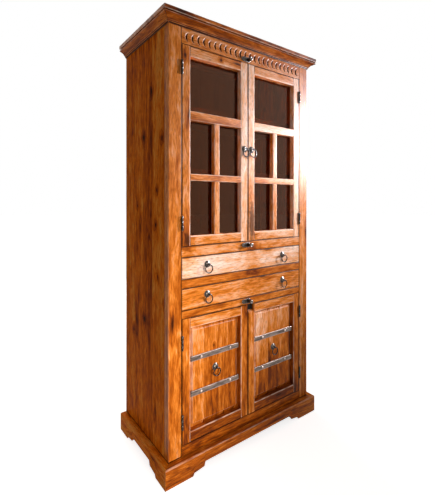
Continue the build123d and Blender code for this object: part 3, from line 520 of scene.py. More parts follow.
def section_spots(
    corners: Sequence[Pair],
    arris: Union[float, Sequence[float]],
    use: Sequence[float],
    pitch: float,
    marks: Sequence[float] = (),
) -> list[Spot]:
    """Rounds a section's outer corners and divides its sides.

    Args:
        corners: The section's corners in order, across and through the board.
        arris: The rounding of every corner, or one for each.
        use: For each corner, 1 where hands rub it, partly a painted highlight, and -1 where it lies in a gap
            and gets painted shade.
        pitch: The longest stretch of a side without a point.
        marks: Places across the board where the longer sides need a point.

    Returns:
        The points of the section, in order.
    """
    count = len(corners)
    area = sum(corners[k][0] * corners[(k + 1) % count][1] - corners[(k + 1) % count][0] * corners[k][1]
               for k in range(count))
    turn = 1 if area > 0 else -1
    rounds = [arris] * count if isinstance(arris, (int, float)) else list(arris)
    arcs: list[list[Triple]] = []
    for k, (x, y) in enumerate(corners):
        before, after = corners[k - 1], corners[(k + 1) % count]
        into, away = unit(before[0] - x, before[1] - y), unit(after[0] - x, after[1] - y)
        hollow = (into[0] * away[1] - into[1] * away[0]) * turn > 0
        r = 0.0 if hollow else rounds[k]
        if r <= 0.0:
            arcs.append([(x, y, min(0.0, use[k]))])
            continue
        steps = 2 if r < 3 * MM else 4
        arc = []
        for s in range(steps + 1):
            t = s / steps
            a, b, c = (1 - t) ** 2, 2 * t * (1 - t), t ** 2
            px = a * (x + into[0] * r) + b * x + c * (x + away[0] * r)
            py = a * (y + into[1] * r) + b * y + c * (y + away[1] * r)
            arc.append((px, py, use[k] * (1.0 if 0 < s < steps else 0.7)))
        arcs.append(arc)
    spots: list[Spot] = []
    for k, arc in enumerate(arcs):
        ahead = arcs[(k + 1) % count][0]
        side = unit(ahead[0] - arc[-1][0], ahead[1] - arc[-1][1])
        behind = arcs[k - 1][-1]
        last_side = unit(arc[0][0] - behind[0], arc[0][1] - behind[1])
        for s, (px, py, wear) in enumerate(arc):
            t = s / (len(arc) - 1) if len(arc) > 1 else 0.5
            mixed = unit(last_side[0] * (1 - t) + side[0] * t, last_side[1] * (1 - t) + side[1] * t)
            spots.append(Spot(px, py, (mixed[1] * turn, -mixed[0] * turn), wear))
        out = (side[1] * turn, -side[0] * turn)
        length = math.hypot(ahead[0] - arc[-1][0], ahead[1] - arc[-1][1])
        guard = 2.0 * MM  # keeps the shading of a rounded corner off the flat beside it
        stops = set()
        if length > 3 * guard:
            stops.update((guard, length - guard))
        pieces = max(1, math.ceil(length / pitch))
        stops.update(length * n / pieces for n in range(1, pieces))
        for mark in marks:
            along = (mark - arc[-1][0]) / side[0] if abs(side[0]) > 0.5 else -1.0
            if 0.2 * MM < along < length - 0.2 * MM:
                stops.add(along)
        kept: list[float] = []
        for along in sorted(stops):
            if not kept or along - kept[-1] > 0.25 * MM:
                kept.append(along)
        spots += [Spot(arc[-1][0] + side[0] * a, arc[-1][1] + side[1] * a, out, 0.0) for a in kept]
    return spots


@dataclass(frozen=True)
class Extent:
    """An upright box in metres."""

    lo: Triple
    hi: Triple

    @classmethod
    def of(cls, node: str) -> "Extent":
        """The box of one of the frame's nodes."""
        lo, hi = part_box(node)
        return cls(tuple(lo), tuple(hi))

    def along(self, axis: Axis, lo: Optional[float] = None, hi: Optional[float] = None) -> "Extent":
        """The same box with another range on one axis.

        Args:
            axis: The axis to change.
            lo: The new lower end, or None to keep it.
            hi: The new upper end, or None to keep it.

        Returns:
            The new box.
        """
        low, high = list(self.lo), list(self.hi)
        low[axis.value] = low[axis.value] if lo is None else lo
        high[axis.value] = high[axis.value] if hi is None else hi
        return Extent(tuple(low), tuple(high))

    def size(self, axis: Axis) -> float:
        """The box's length on one axis."""
        return self.hi[axis.value] - self.lo[axis.value]

    def centre(self, axis: Axis) -> float:
        """The box's middle on one axis."""
        return (self.hi[axis.value] + self.lo[axis.value]) / 2

    def staves(
        self, axis: Axis, count: int, seed: str, spread: float = 0.16, lap: float = 0.45 * MM
    ) -> list["Extent"]:
        """Divides the box into boards of slightly uneven widths.

        Args:
            axis: The axis across the boards.
            count: How many boards.
            seed: Names the draw of widths.
            spread: How much a width varies, as a share.
            lap: How far each board reaches into the next, so that planed edges let no light through.

        Returns:
            The boards' boxes in order.
        """
        draw = random.Random(seed)
        shares = [1 + draw.uniform(-spread, spread) for _ in range(count)]
        edges = [self.lo[axis.value]]
        for share in shares:
            edges.append(edges[-1] + self.size(axis) * share / sum(shares))
        edges[-1] = self.hi[axis.value]
        low, high = edges[0], edges[-1]
        return [self.along(axis, max(low, a - lap), min(high, b + lap)) for a, b in zip(edges, edges[1:])]


FOOT_SHADE_BELOW = 580 * MM  # painted shade, where the key light falls off, starts at this height
FOOT_SHADE_REACH = 330 * MM  # and is at its darkest this much lower
PLANE_STROKE = 0.11  # metres between the hollows that a hand plane leaves along a board
PLANE_WIDTH = 0.04  # and across it
Carving = Callable[[Vector, Spot, float], tuple[Vector, float]]
Mitre = Callable[[float, float], Pair]


@dataclass
class Board:
    """One board: a section that is carried along the grain.

    Its arrises are eased, hand planing leaves its faces a little uneven, and all of that goes inwards
    from the box that the frame gives it. Its foot darkens with painted shade of the key light's fall-off.
    """

    extent: Extent
    grain: Axis
    face: Axis
    tone: float = 0.0
    arris: Union[float, Sequence[float]] = 1.5 * MM
    end_arris: float = 0.5 * MM
    pitch: float = 32.0 * MM
    across_pitch: float = 26.0 * MM
    planing: float = 0.22 * MM
    knocks: float = 0.7 * MM
    corners: Optional[Sequence[Pair]] = None
    # use and end_use: above zero arrises are rubbed paler, partly a painted highlight; below zero edges in
    # gaps get painted shade.
    use: Optional[Sequence[float]] = None
    end_use: float = -0.5
    settled: float = 0.0
    mitre: Optional[Mitre] = None
    carving: Optional[Carving] = None
    marks_along: Sequence[float] = ()
    marks_across: Sequence[float] = ()

    def across(self) -> Axis:
        """The axis across the board's broad face."""
        return next(a for a in Axis if a not in (self.grain, self.face))

    def section(self) -> list[Spot]:
        """The points of the board's section, in metres across and through."""
        across, face = self.across().value, self.face.value
        lo, hi = self.extent.lo, self.extent.hi
        corners = self.corners or [
            (lo[across], lo[face]), (hi[across], lo[face]), (hi[across], hi[face]), (lo[across], hi[face])
        ]
        use = self.use or [1.0] * len(corners)
        return section_spots(corners, self.arris, use, self.across_pitch, self.marks_across)

    def stations(self, start: float, end: float) -> list[Triple]:
        """The stops along the grain.

        Args:
            start: Where the board begins.
            end: Where it ends.

        Returns:
            For each stop its place, how far the section is drawn in there, and how much of it is end.
        """
        ease = min(self.end_arris, (end - start) / 4)
        inner = [(start + ease, 0.0, 0.7)]
        pieces = max(1, round((end - start) / self.pitch))
        stops = {start + (end - start) * k / pieces for k in range(1, pieces)}
        shoulder = 1.8 * MM
        stops.update((start + ease + shoulder, end - ease - shoulder))
        stops.update(m for m in self.marks_along if start + ease < m < end - ease)
        for stop in sorted(stops):
            if stop - inner[-1][0] > 0.2 * MM and end - ease - stop > 0.2 * MM:
                inner.append((stop, 0.0, 0.0))
        inner.append((end - ease, 0.0, 0.7))
        guard = ease + 2.5 * MM
        head = [(start, guard, 1.0), (start, ease, 1.0), (start + 0.3 * ease, 0.3 * ease, 1.0)]
        tail = [(end - 0.3 * ease, 0.3 * ease, 1.0), (end, ease, 1.0), (end, guard, 1.0)]
        return head + inner + tail


class Workpiece:
    """A piece in the making: its mesh, with the wood's coordinates, its tone and its wear, which also carries
    painted highlights and painted shade.
    """

    def __init__(self, name: str) -> None:
        """Starts an empty piece with the given name."""
        self.name = name
        self.mesh = bmesh.new()
        self.grain = self.mesh.verts.layers.float_vector.new("grain")
        self.tone = self.mesh.verts.layers.float.new("tone")
        self.wear = self.mesh.verts.layers.float.new("wear")
        self.draw = random.Random(name)

    def point(self, place: Vector, grain: Vector, tone: float, wear: float) -> bmesh.types.BMVert:
        """Adds a point.

        Args:
            place: Where it is.
            grain: Its place in the tree that the board was sawn from.
            tone: How much lighter the board is than its neighbours, with painted glare and painted foot shade
                in it.
            wear: How much the point is rubbed, partly as a painted highlight; below zero, how dark its
                painted shade is.

        Returns:
            The new point.
        """
        vert = self.mesh.verts.new(place)
        vert[self.grain] = grain
        vert[self.tone] = tone
        vert[self.wear] = wear
        return vert

    def skin(self, rings: Sequence[Sequence[bmesh.types.BMVert]], closed: bool = False) -> None:
        """Joins rings of points to a closed surface.

        Args:
            rings: Rings with the same number of points each.
            closed: Whether the last ring joins the first; otherwise both ends get a cap.
        """
        pairs = list(zip(rings, rings[1:]))
        if closed:
            pairs.append((rings[-1], rings[0]))
        for one, two in pairs:
            for k in range(len(one)):
                n = (k + 1) % len(one)
                self.mesh.faces.new((one[k], one[n], two[n], two[k]))
        if not closed:
            caps = [self.mesh.faces.new(rings[0]), self.mesh.faces.new(rings[-1][::-1])]
            bmesh.ops.triangulate(self.mesh, faces=caps)

    def board(self, board: Board) -> None:
        """Adds one board.

        Args:
            board: What to make.
        """
        g, a, f = board.grain.value, board.across().value, board.face.value
        spots = board.section()
        middle = [sum(getattr(s, name) for s in spots) / len(spots) for name in ("across", "through")]
        start, end = board.extent.lo[g], board.extent.hi[g]
        tone = board.tone + self.draw.uniform(-0.10, 0.10)
        shift = self.draw.uniform(-9.0, 9.0)
        pith = (self.draw.uniform(-0.05, 0.05), self.draw.choice((-1, 1)) * self.draw.uniform(0.03, 0.12))
        rings = []
        for stop, inset, share in board.stations(start, end):
            ring = []
            for spot in spots:
                begin, finish = board.mitre(spot.across, spot.through) if board.mitre else (start, end)
                scale = 1 if inset else (finish - begin) / (end - start)
                if stop - start < end - stop:
                    along = begin + (stop - start) * scale
                else:
                    along = finish - (end - stop) * scale
                place = Vector((0.0, 0.0, 0.0))
                place[g], place[a], place[f] = along, spot.across, spot.through
                near = Vector((along / PLANE_STROKE, spot.across / PLANE_WIDTH, spot.through / PLANE_WIDTH))
                taken = board.planing * (0.5 + 0.5 * noise.noise(near + Vector((shift, 0, 0))))
                knock = max(0.0, noise.noise(near * 3.0 + Vector((0, shift, 0))))
                taken += board.knocks * abs(spot.wear) * knock
                place[a] -= spot.out[0] * taken
                place[f] -= spot.out[1] * taken
                if inset:
                    reach = (middle[0] - spot.across, middle[1] - spot.through)
                    place[a] += math.copysign(min(inset, abs(reach[0])), reach[0])
                    place[f] += math.copysign(min(inset, abs(reach[1])), reach[1])
                wear = spot.wear * (1 - share) + board.end_use * share
                if board.carving:
                    place, wear = board.carving(place, spot, wear)
                off = (spot.across - middle[0], spot.through - middle[1])
                own = Vector((along + shift, off[0] + pith[0], off[1] + pith[1]))
                # Painted shade: darker towards the foot, where the key light falls off.
                low = min(1.0, max(0.0, (FOOT_SHADE_BELOW - place.z) / FOOT_SHADE_REACH))
                ring.append(self.point(place, own, tone - board.settled * low, wear))
            rings.append(ring)
        self.skin(rings)

    def turned(
        self,
        centre: Vector,
        axis: Vector,
        profile: Sequence[Triple],
        segments: int = 32,
        hammer: float = 0.25 * MM,
    ) -> None:
        """Adds a round piece, hammered a little out of true.

        Args:
            centre: Where its axis starts.
            axis: Which way it rises.
            profile: Radius, height and wear of each ring.
            segments: Points in each ring.
            hammer: How deep the hammer marks are.
        """
        up = axis.normalized()
        one = up.orthogonal().normalized()
        two = up.cross(one)
        rings = []
        for radius, height, wear in profile:
            ring = []
            for k in range(segments):
                angle = 2 * math.pi * k / segments
                out = one * math.cos(angle) + two * math.sin(angle)
                spot = centre + up * height + out * radius
                dent = hammer * max(0.0, 0.4 + noise.noise(spot / (5.5 * MM))) * min(1.0, radius / (3 * MM))
                ring.append(self.point(spot - out * dent, spot, 0.0, wear))
            rings.append(ring)
        self.skin(rings)

    def hoop(
        self,
        centre: Vector,
        one: Vector,
        two: Vector,
        radius: float,
        bar: float,
        segments: int = 72,
        sides: int = 12,
        hammer: float = 0.22 * MM,
    ) -> None:
        """Adds a ring bent from a hammered bar.

        Args:
            centre: The ring's centre.
            one: First direction in its plane.
            two: Second direction in its plane.
            radius: From the centre to the bar's middle.
            bar: The bar's radius.
            segments: Stops round the ring.
            sides: Points round the bar.
            hammer: How deep the hammer marks are.
        """
        rings = []
        for k in range(segments):
            angle = 2 * math.pi * k / segments
            out = one * math.cos(angle) + two * math.sin(angle)
            spine = centre + out * radius
            normal = one.cross(two)
            ring = []
            for s in range(sides):
                turn = 2 * math.pi * s / sides
                way = out * math.cos(turn) + normal * math.sin(turn)
                spot = spine + way * bar
                dent = hammer * max(0.0, 0.3 + noise.noise(spot / (5.0 * MM)))
                ring.append(self.point(spot - way * dent, spot, 0.0, 0.05 + 0.2 * max(0.0, math.cos(turn))))
            rings.append(ring)
        self.skin(rings, closed=True)

    def done(self, material: Material, body: str, slot: str, *nodes: str) -> bpy.types.Object:
        """Turns the piece to an object of the cupboard.

        Args:
            material: Its finish.
            body: The body that it rides on.
            slot: Not used.
            *nodes: The frame's nodes that it stands for.

        Returns:
            The new object.
        """
        bmesh.ops.remove_doubles(self.mesh, verts=self.mesh.verts, dist=0.002 * MM)
        bmesh.ops.recalc_face_normals(self.mesh, faces=self.mesh.faces)
        data = bpy.data.meshes.new(self.name)
        self.mesh.to_mesh(data)
        self.mesh.free()
        data.shade_smooth()
        data.set_sharp_from_angle(angle=math.radians(SHARP_ANGLE))
        data.materials.append(material)
        piece = bpy.data.objects.new(self.name, data)
        bpy.context.collection.objects.link(piece)
        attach(piece, body)
        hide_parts(*nodes)
        LOG.info("%s: %d faces, on %s", self.name, len(data.polygons), body)
        return piece


def make(
    name: str, boards: Iterable[Board], material: Material, body: str, slot: str, node: str
) -> bpy.types.Object:
    """Makes a piece that is boards and nothing else.

    Args:
        name: The piece's name.
        boards: Its boards, in the order in which they are worked.
        material: Its finish.
        body: The body that it rides on.
        slot: Not used; it is only passed on to the piece.
        node: The frame's node that it stands for.

    Returns:
        The new object.
    """
    piece = Workpiece(name)
    for board in boards:
        piece.board(board)
    return piece.done(material, body, slot, node)


# ---------------------------------------------------------------- the finishes in use
SIDE_FACE_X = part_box("side_panel_left")[0].x
FRONT_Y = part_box("front_post_left")[0].y


@dataclass
class Finishes:
    """Every finish of the cupboard, made once."""

    front: Material = field(init=False)
    case: Material = field(init=False)
    inside: Material = field(init=False)
    iron: Material = field(init=False)
    strap: Material = field(init=False)
    glass: Material = field(init=False)

    def __post_init__(self) -> None:
        """Makes the materials."""
        self.front = VarnishedAcacia(
            "varnished_acacia_honey", dark="#642A08", brown="#AC560E", honey="#D87E2C", pale="#ECAC80",
            bleached="#F7DACB", worn="#FFE0CC", knot="#1C0700", gloss=0.08, wear=0.85,
            knots=(
                Knot((-0.158, FRONT_Y, 1.759), 7 * MM, Axis.Y),
                Knot((-0.344, FRONT_Y, 1.735), 9 * MM, Axis.Y),
                Knot((-0.335, FRONT_Y, 0.965), 17 * MM, Axis.Y, slim=0.4, darkness=0.7),
                Knot((0.024, FRONT_Y, 1.03), 24 * MM, Axis.Y, slim=0.20, darkness=0.78),
                Knot((-0.188, FRONT_Y, 0.495), 4 * MM, Axis.Y),
            ),
        ).build()
        self.case = VarnishedAcacia(
            "varnished_acacia_walnut_stain", dark="#5E2200", brown="#A84A06", honey="#D2680A", pale="#DC8C38",
            bleached="#E2A050", worn="#E8A660", knot="#190A02", gloss=0.004, wear=0.5, figure=1.15,
            streak_width=44 * MM,
            knots=tuple(Knot((x, y, z), size * MM, Axis.X) for x, y, z, size in (
                (-0.42, -0.05, 1.61, 9), (-0.42, -0.148, 1.393, 9), (-0.42, -0.10, 1.18, 7),
                (-0.42, -0.09, 1.03, 8), (-0.42, 0.10, 1.11, 7), (-0.42, -0.175, 0.70, 8),
                (-0.42, 0.02, 0.60, 10), (0.42, 0.03, 1.42, 10), (0.42, -0.11, 0.81, 8),
                (0.42, 0.14, 0.52, 9),
            )),
        ).build()
        self.inside = VarnishedAcacia(
            "oiled_acacia_dark_inside", dark="#34180A", brown="#4A2612", honey="#5E351C", pale="#724828",
            bleached="#7C5434", worn="#7C5234", knot="#160A04", roughness=0.6, gloss=0.05, wear=0.3,
            figure=0.6,
        ).build()
        self.iron = ForgedIron(
            "blackened_forged_iron", scale="#0A0705", metal="#1E1713", bright="#8A7F76", roughness=0.28
        ).build()
        self.strap = ForgedIron(
            "forged_strap_iron", scale="#483B33", metal="#786960", bright="#D6C2B6", roughness=0.46,
            metallic=0.75, facet=9.0 * MM, draw=(0.22, 1.0, 1.0),
        ).build()
        self.glass = SmokedGlass(
            "smoked_brown_glass", tint="#B58E72", mirror="#FFB487", roughness=0.02
        ).build()


# ---------------------------------------------------------------- carcass
@dataclass
class Carcass:
    """The fixed case: posts and rails in front, boarded sides and back, shelves and runners inside."""

    finishes: Finishes
    post_arris: float = 2.2 * MM
    stave: float = 92.0 * MM
    back_stave: float = 130.0 * MM
    board_thickness: float = 20.0 * MM
    cleat: float = 18.0 * MM
    grime: float = 5.0 * MM
    body: str = "carcass"

    def build(self) -> None:
        """Makes every piece of the case but the frieze, the crown and the plinth."""
        self.posts()
        self.rails()
        self.sides()
        self.back()
        self.shelves()
        self.cleats()
        self.runners()

    def foot_marks(self) -> tuple[float, ...]:
        """The stops that the painted shade above the plinth needs."""
        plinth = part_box("plinth_front")[1].z
        return plinth - 1 * MM, plinth + 0.5 * self.grime, plinth + self.grime, plinth + 2 * self.grime

    def gather(self, place: Vector, spot: Spot, wear: float) -> tuple[Vector, float]:
        """Paints shade on a board in a band just above the plinth, where the two meet."""
        above = place.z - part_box("plinth_front")[1].z
        # Painted shade in a band just above the plinth.
        return place, min(wear, -1.2) if above < 0.6 * self.grime else wear

    def posts(self) -> None:
        """Makes the two front posts."""
        for side in Side:
            node = f"front_post_{side.word()}"
            # The edge beside the door gap gets painted shade; the right post darkens towards its foot as
            # painted shade of the key light's fall-off.
            use, settled = ((0.15, -1.2, 0, 0), 0.0) if side is Side.LEFT else ((-1.2, 0.15, 0, 0), 0.06)
            board = Board(
                Extent.of(node), Axis.Z, Axis.Y, arris=self.post_arris, use=use, pitch=28 * MM, tone=0.10,
                carving=self.gather, marks_along=self.foot_marks(), settled=settled,
            )
            make(f"post_{side.word()}", [board], self.finishes.front, self.body, "front_wood", node)

    def rails(self) -> None:
        """Makes the four plain rails between the posts."""
        left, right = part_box("front_post_left")[1].x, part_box("front_post_right")[0].x
        tones = {"sill_rail": -0.24, "lower_head_rail": 0.0, "drawer_divider_rail": 0.02, "waist_rail": 0.12}
        for node, tone in tones.items():
            extent = Extent.of(node).along(Axis.X, left, right)
            # Painted shade along both front edges, beside the gaps.
            board = Board(extent, Axis.X, Axis.Y, tone, 1.8 * MM, use=(-1, -1, 0, 0), pitch=26 * MM)
            name = node.replace("_rail", "_cross_rail")
            make(name, [board], self.finishes.front, self.body, "front_wood", node)

    def sides(self) -> None:
        """Makes the sides from upright boards, glued edge to edge."""
        tones = (0.06, -0.10, 0.02, -0.05, 0.08)
        for side in Side:
            node = f"side_panel_{side.word()}"
            extent = Extent.of(node)
            staves = extent.staves(Axis.Y, round(extent.size(Axis.Y) / self.stave), node)
            boards = [Board(
                stave, Axis.Z, Axis.X, arris=0.5 * MM, use=(-0.5, -0.5, -0.5, -0.5), pitch=45 * MM,
                tone=tones[index % len(tones)], knocks=0.2 * MM, carving=self.gather,
                marks_along=self.foot_marks(),
            ) for index, stave in enumerate(staves)]
            make(f"side_boards_{side.word()}", boards, self.finishes.case, self.body, "case_wood", node)

    def back(self) -> None:
        """Makes the back from upright boards with eased edges."""
        extent = Extent.of("back_panel")
        staves = extent.staves(Axis.X, round(extent.size(Axis.X) / self.back_stave), "back")
        boards = [Board(stave, Axis.Z, Axis.Y, arris=1.6 * MM, use=(-1, -1, -1, -1), pitch=70 * MM)
                  for stave in staves]
        make("back_boards", boards, self.finishes.inside, self.body, "inside_wood", "back_panel")

    def shelves(self) -> None:
        """Makes the floors and shelves, each from three boards."""
        upper = Extent.of("upper_shelves")
        single = ("floor_board", "lower_shelf", "drawer_bay_floor", "waist_board")
        flats = {node: [Extent.of(node)] for node in single}
        flats["upper_shelves"] = [
            upper.along(Axis.Z, hi=upper.lo[2] + self.board_thickness),
            upper.along(Axis.Z, lo=upper.hi[2] - self.board_thickness),
        ]
        for node, extents in flats.items():
            boards = [Board(stave, Axis.X, Axis.Z, arris=1.2 * MM, pitch=70 * MM)
                      for extent in extents for stave in extent.staves(Axis.Y, 3, node)]
            make(f"{node}_boards", boards, self.finishes.inside, self.body, "inside_wood", node)

    def cleats(self) -> None:
        """Makes the cleats under the three shelves."""
        whole, width = Extent.of("shelf_cleats"), self.cleat
        shelves = [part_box("lower_shelf")[0].z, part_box("upper_shelves")[0].z,
                   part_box("upper_shelves")[1].z - self.board_thickness]
        ends = ((whole.lo[0], whole.lo[0] + width), (whole.hi[0] - width, whole.hi[0]))
        boards = [Board(whole.along(Axis.X, *end).along(Axis.Z, top - width, top), Axis.Y, Axis.X,
                        arris=1.2 * MM, pitch=70 * MM) for top in shelves for end in ends]
        make("shelf_bearers", boards, self.finishes.inside, self.body, "inside_wood", "shelf_cleats")

    def runners(self) -> None:
        """Makes the drawer runners with their guides."""
        whole = Extent.of("drawer_runners")
        ledge, guide, thickness, reach = 34 * MM, 34 * MM, 18 * MM, 24 * MM
        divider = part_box("drawer_divider_rail")[1].z
        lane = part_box("upper_drawer_front")[1].x + 0.8 * MM
        outer, inner = whole.hi[0], lane - reach
        section = ((divider - thickness, outer), (divider + ledge, outer), (divider + ledge, lane),
                   (divider, lane), (divider, inner), (divider - thickness, inner))
        boards = []
        for sign in (-1, 1):
            ends = sorted((sign * outer, sign * lane))
            bottom = whole.along(Axis.X, *ends).along(Axis.Z, whole.lo[2], whole.lo[2] + guide)
            boards.append(Board(bottom, Axis.Y, Axis.X, arris=1.2 * MM, pitch=70 * MM))
            corners = [(z, sign * x) for z, x in section]
            boards.append(Board(whole, Axis.Y, Axis.X, arris=1.2 * MM, pitch=70 * MM, corners=corners))
        make("drawer_slips", boards, self.finishes.inside, self.body, "inside_wood", "drawer_runners")


# ---------------------------------------------------------------- frieze
@dataclass
class Frieze:
    """The rail under the crown, with its row of hand-cut crescents."""

    finishes: Finishes
    row: float = 32.5 * MM
    slip: float = 1.0 * MM
    count: int = 24
    pitch: float = 29.2 * MM
    height: float = 44.0 * MM
    bulge: float = 17.0 * MM
    width: float = 9.5 * MM
    depth: float = 6.0 * MM
    rim: float = 1.8 * MM
    grid: float = 1.3 * MM
    level: float = field(init=False)
    cuts: list[tuple[float, float, float, float, float]] = field(init=False)

    def build(self) -> None:
        """Makes the rail and carves it."""
        left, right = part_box("front_post_left")[1].x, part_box("front_post_right")[0].x
        extent = Extent.of("frieze_rail").along(Axis.X, left, right)
        self.level = extent.lo[2] + self.row
        self.cuts = [self._cut(index) for index in range(self.count)]
        # Painted shade along both front edges.
        board = Board(
            extent, Axis.X, Axis.Y, arris=1.6 * MM, pitch=self.grid, across_pitch=self.grid, tone=0.02,
            use=(-1, -1, 0, 0), carving=self.carve,
        )
        make("carved_frieze", [board], self.finishes.front, "carcass", "front_wood", "frieze_rail")

    def _cut(self, index: int) -> tuple[float, float, float, float, float]:
        """One crescent as the carver left it.

        Args:
            index: Its place in the row.

        Returns:
            Middle x and z, tilt in radians, height share and depth share.
        """
        draw = random.Random(f"crescent {index}")
        x = (index - (self.count - 1) / 2) * self.pitch
        return (
            x + draw.uniform(-1.0, 1.0) * self.slip, self.level + draw.uniform(-1.0, 1.0) * self.slip,
            draw.uniform(-0.06, 0.06), draw.uniform(0.92, 1.05), draw.uniform(0.8, 1.0),
        )

    def carve(self, place: Vector, spot: Spot, wear: float) -> tuple[Vector, float]:
        """Takes a point of the rail's face down to the floor of the crescent that it lies in.

        Args:
            place: The point.
            spot: Its place in the section.
            wear: How much it is rubbed.

        Returns:
            The point after carving, and its wear: the rim is painted pale as a highlight, and the cut's floor
                runs from pale to painted shade at the deep end.
        """
        if spot.out[1] > -0.9:
            return place, wear
        index = round(place.x / self.pitch + (self.count - 1) / 2)
        if not 0 <= index < self.count:
            return place, wear
        x, z, tilt, tall, deep = self.cuts[index]
        dx, dz = place.x - x, place.z - z
        across = dx * math.cos(tilt) + dz * math.sin(tilt)
        up = (dz * math.cos(tilt) - dx * math.sin(tilt)) / tall
        half = self.height / 2
        outer = (half**2 + self.bulge**2) / (2 * self.bulge)
        shallow = self.bulge - self.width
        inner = (half**2 + shallow**2) / (2 * shallow)
        tip = self.bulge / 2
        from_outer = outer - math.hypot(across - (tip - self.bulge + outer), up)
        from_inner = math.hypot(across - (tip - shallow + inner), up) - inner
        by_rim = from_inner > -self.rim or from_outer < self.rim
        near = min(abs(from_outer), abs(from_inner)) if by_rim else 1.0
        if from_outer <= 0 or from_inner < -0.6 * MM:
            # The rim is painted pale as a highlight.
            edge = max(0.0, 1.0 - near / self.rim) if abs(up) < half else 0.0
            return place, max(wear, 0.95 * edge)
        # The cut's floor is painted from a pale highlight at the outer edge to dark shade at the deep inner
        # wall.
        wall = min(1.0, max(0.0, 0.5 + from_inner / (1.2 * MM)))
        share = min(1.0, 1.1 * from_outer / self.width)
        cut = self.depth * share * wall * deep
        stain = max(-1.4, 0.8 - 5.0 * share * wall)
        return Vector((place.x, place.y + cut, place.z)), stain


# ---------------------------------------------------------------- crown
@dataclass
class Crown:
    """The cover board and the mitred moulding beneath it."""

    finishes: Finishes
    setback: float = 2.0 * MM
    groove: float = 5.0 * MM
    groove_depth: float = 9.0 * MM
    lip: float = 2.0 * MM
    quirk: float = 6.0 * MM
    quirk_reach: float = 2.5 * MM
    fillet: float = 4.0 * MM
    fillet_reach: float = 6.0 * MM
    sag: float = 2.7 * MM
    cove_steps: int = 8

    def build(self) -> None:
        """Makes the cover board and the three lengths of moulding."""
        self.cover()
        self.front()
        for side in Side:
            self.flank(side)

    def cover(self) -> None:
        """Makes the cover board from three boards."""
        boards = [Board(
            stave, Axis.X, Axis.Z, arris=1.6 * MM, end_arris=1.4 * MM, end_use=0.7, pitch=34 * MM, tone=-0.14,
        ) for stave in Extent.of("crown_top").staves(Axis.Y, 3, "cover")]
        make("crown_cover", boards, self.finishes.front, "carcass", "case_wood", "crown_top")

    def moulding(self, height: float, overhang: float) -> list[Pair]:
        """The moulding's section.

        Args:
            height: The moulding's height.
            overhang: How far the cover board stands out.

        Returns:
            Reach from the case and height above the lower edge, in order.
        """
        reach = overhang - self.setback
        groove = height - self.groove
        lip = groove - self.lip
        fillet_top = self.quirk + self.fillet
        start = self.fillet_reach + self.quirk_reach
        run, rise = reach - start, lip - fillet_top
        length = math.hypot(run, rise)
        cove = []
        for k in range(self.cove_steps + 1):
            t = k / self.cove_steps
            sag = 4 * self.sag * t * (1 - t)
            cove.append((start + run * t - sag * rise / length, fillet_top + rise * t + sag * run / length))
        inner = reach - self.groove_depth
        foot = [(0, 0), (self.quirk_reach, 0), (self.quirk_reach, self.quirk),
                (self.fillet_reach, self.quirk), (self.fillet_reach, fillet_top)]
        return foot + cove + [(reach, groove), (inner, groove), (inner, height), (0, height)]

    def use(self) -> list[float]:
        """How much hands rub each corner of the moulding, in the section's order: negative values paint shade
        into the groove, quirks and hollows, and the few positive ones rub arrises paler, partly as painted
        highlight.
        """
        foot, cove, top = [-1.3, -1.1, -1.3, 0.5, -1.2, 0.2], [0.0] * (self.cove_steps - 1), [0.5, -0.6]
        return foot + cove + top + [-1.3, -1.3, -1.0]

    def front(self) -> None:
        """Makes the front length, mitred at both ends."""
        extent = Extent.of("crown_front")
        overhang = FRONT_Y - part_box("crown_top")[0].y
        section = self.moulding(extent.size(Axis.Z), overhang)
        corners = [(extent.lo[2] + up, FRONT_Y - out) for out, up in section]
        half = -SIDE_FACE_X
        board = Board(
            extent.along(Axis.X, -half, half), Axis.X, Axis.Y, arris=0.6 * MM, pitch=30 * MM, corners=corners,
            mitre=lambda across, through: (-half - (FRONT_Y - through), half + (FRONT_Y - through)),
            use=self.use(), end_arris=0.15 * MM, knocks=0.3 * MM, tone=-0.20,
        )
        make("crown_moulding_front", [board], self.finishes.front, "carcass", "case_wood", "crown_front")

    def flank(self, side: Side) -> None:
        """Makes one side length, mitred at the front.

        Args:
            side: Which side.
        """
        node = f"crown_{side.word()}"
        extent = Extent.of(node)
        overhang = FRONT_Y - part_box("crown_top")[0].y
        wall = side.value * -SIDE_FACE_X
        section = self.moulding(extent.size(Axis.Z), overhang)
        corners = [(extent.lo[2] + up, wall + side.value * out) for out, up in section]
        back = extent.hi[1]
        board = Board(
            extent.along(Axis.Y, FRONT_Y, back), Axis.Y, Axis.X, arris=0.6 * MM, pitch=30 * MM,
            corners=corners, mitre=lambda across, through: (FRONT_Y - abs(through - wall), back),
            use=self.use(), end_arris=0.15 * MM, knocks=0.3 * MM, tone=-0.10,
        )
        name = f"crown_moulding_{side.word()}"
        make(name, [board], self.finishes.front, "carcass", "case_wood", node)


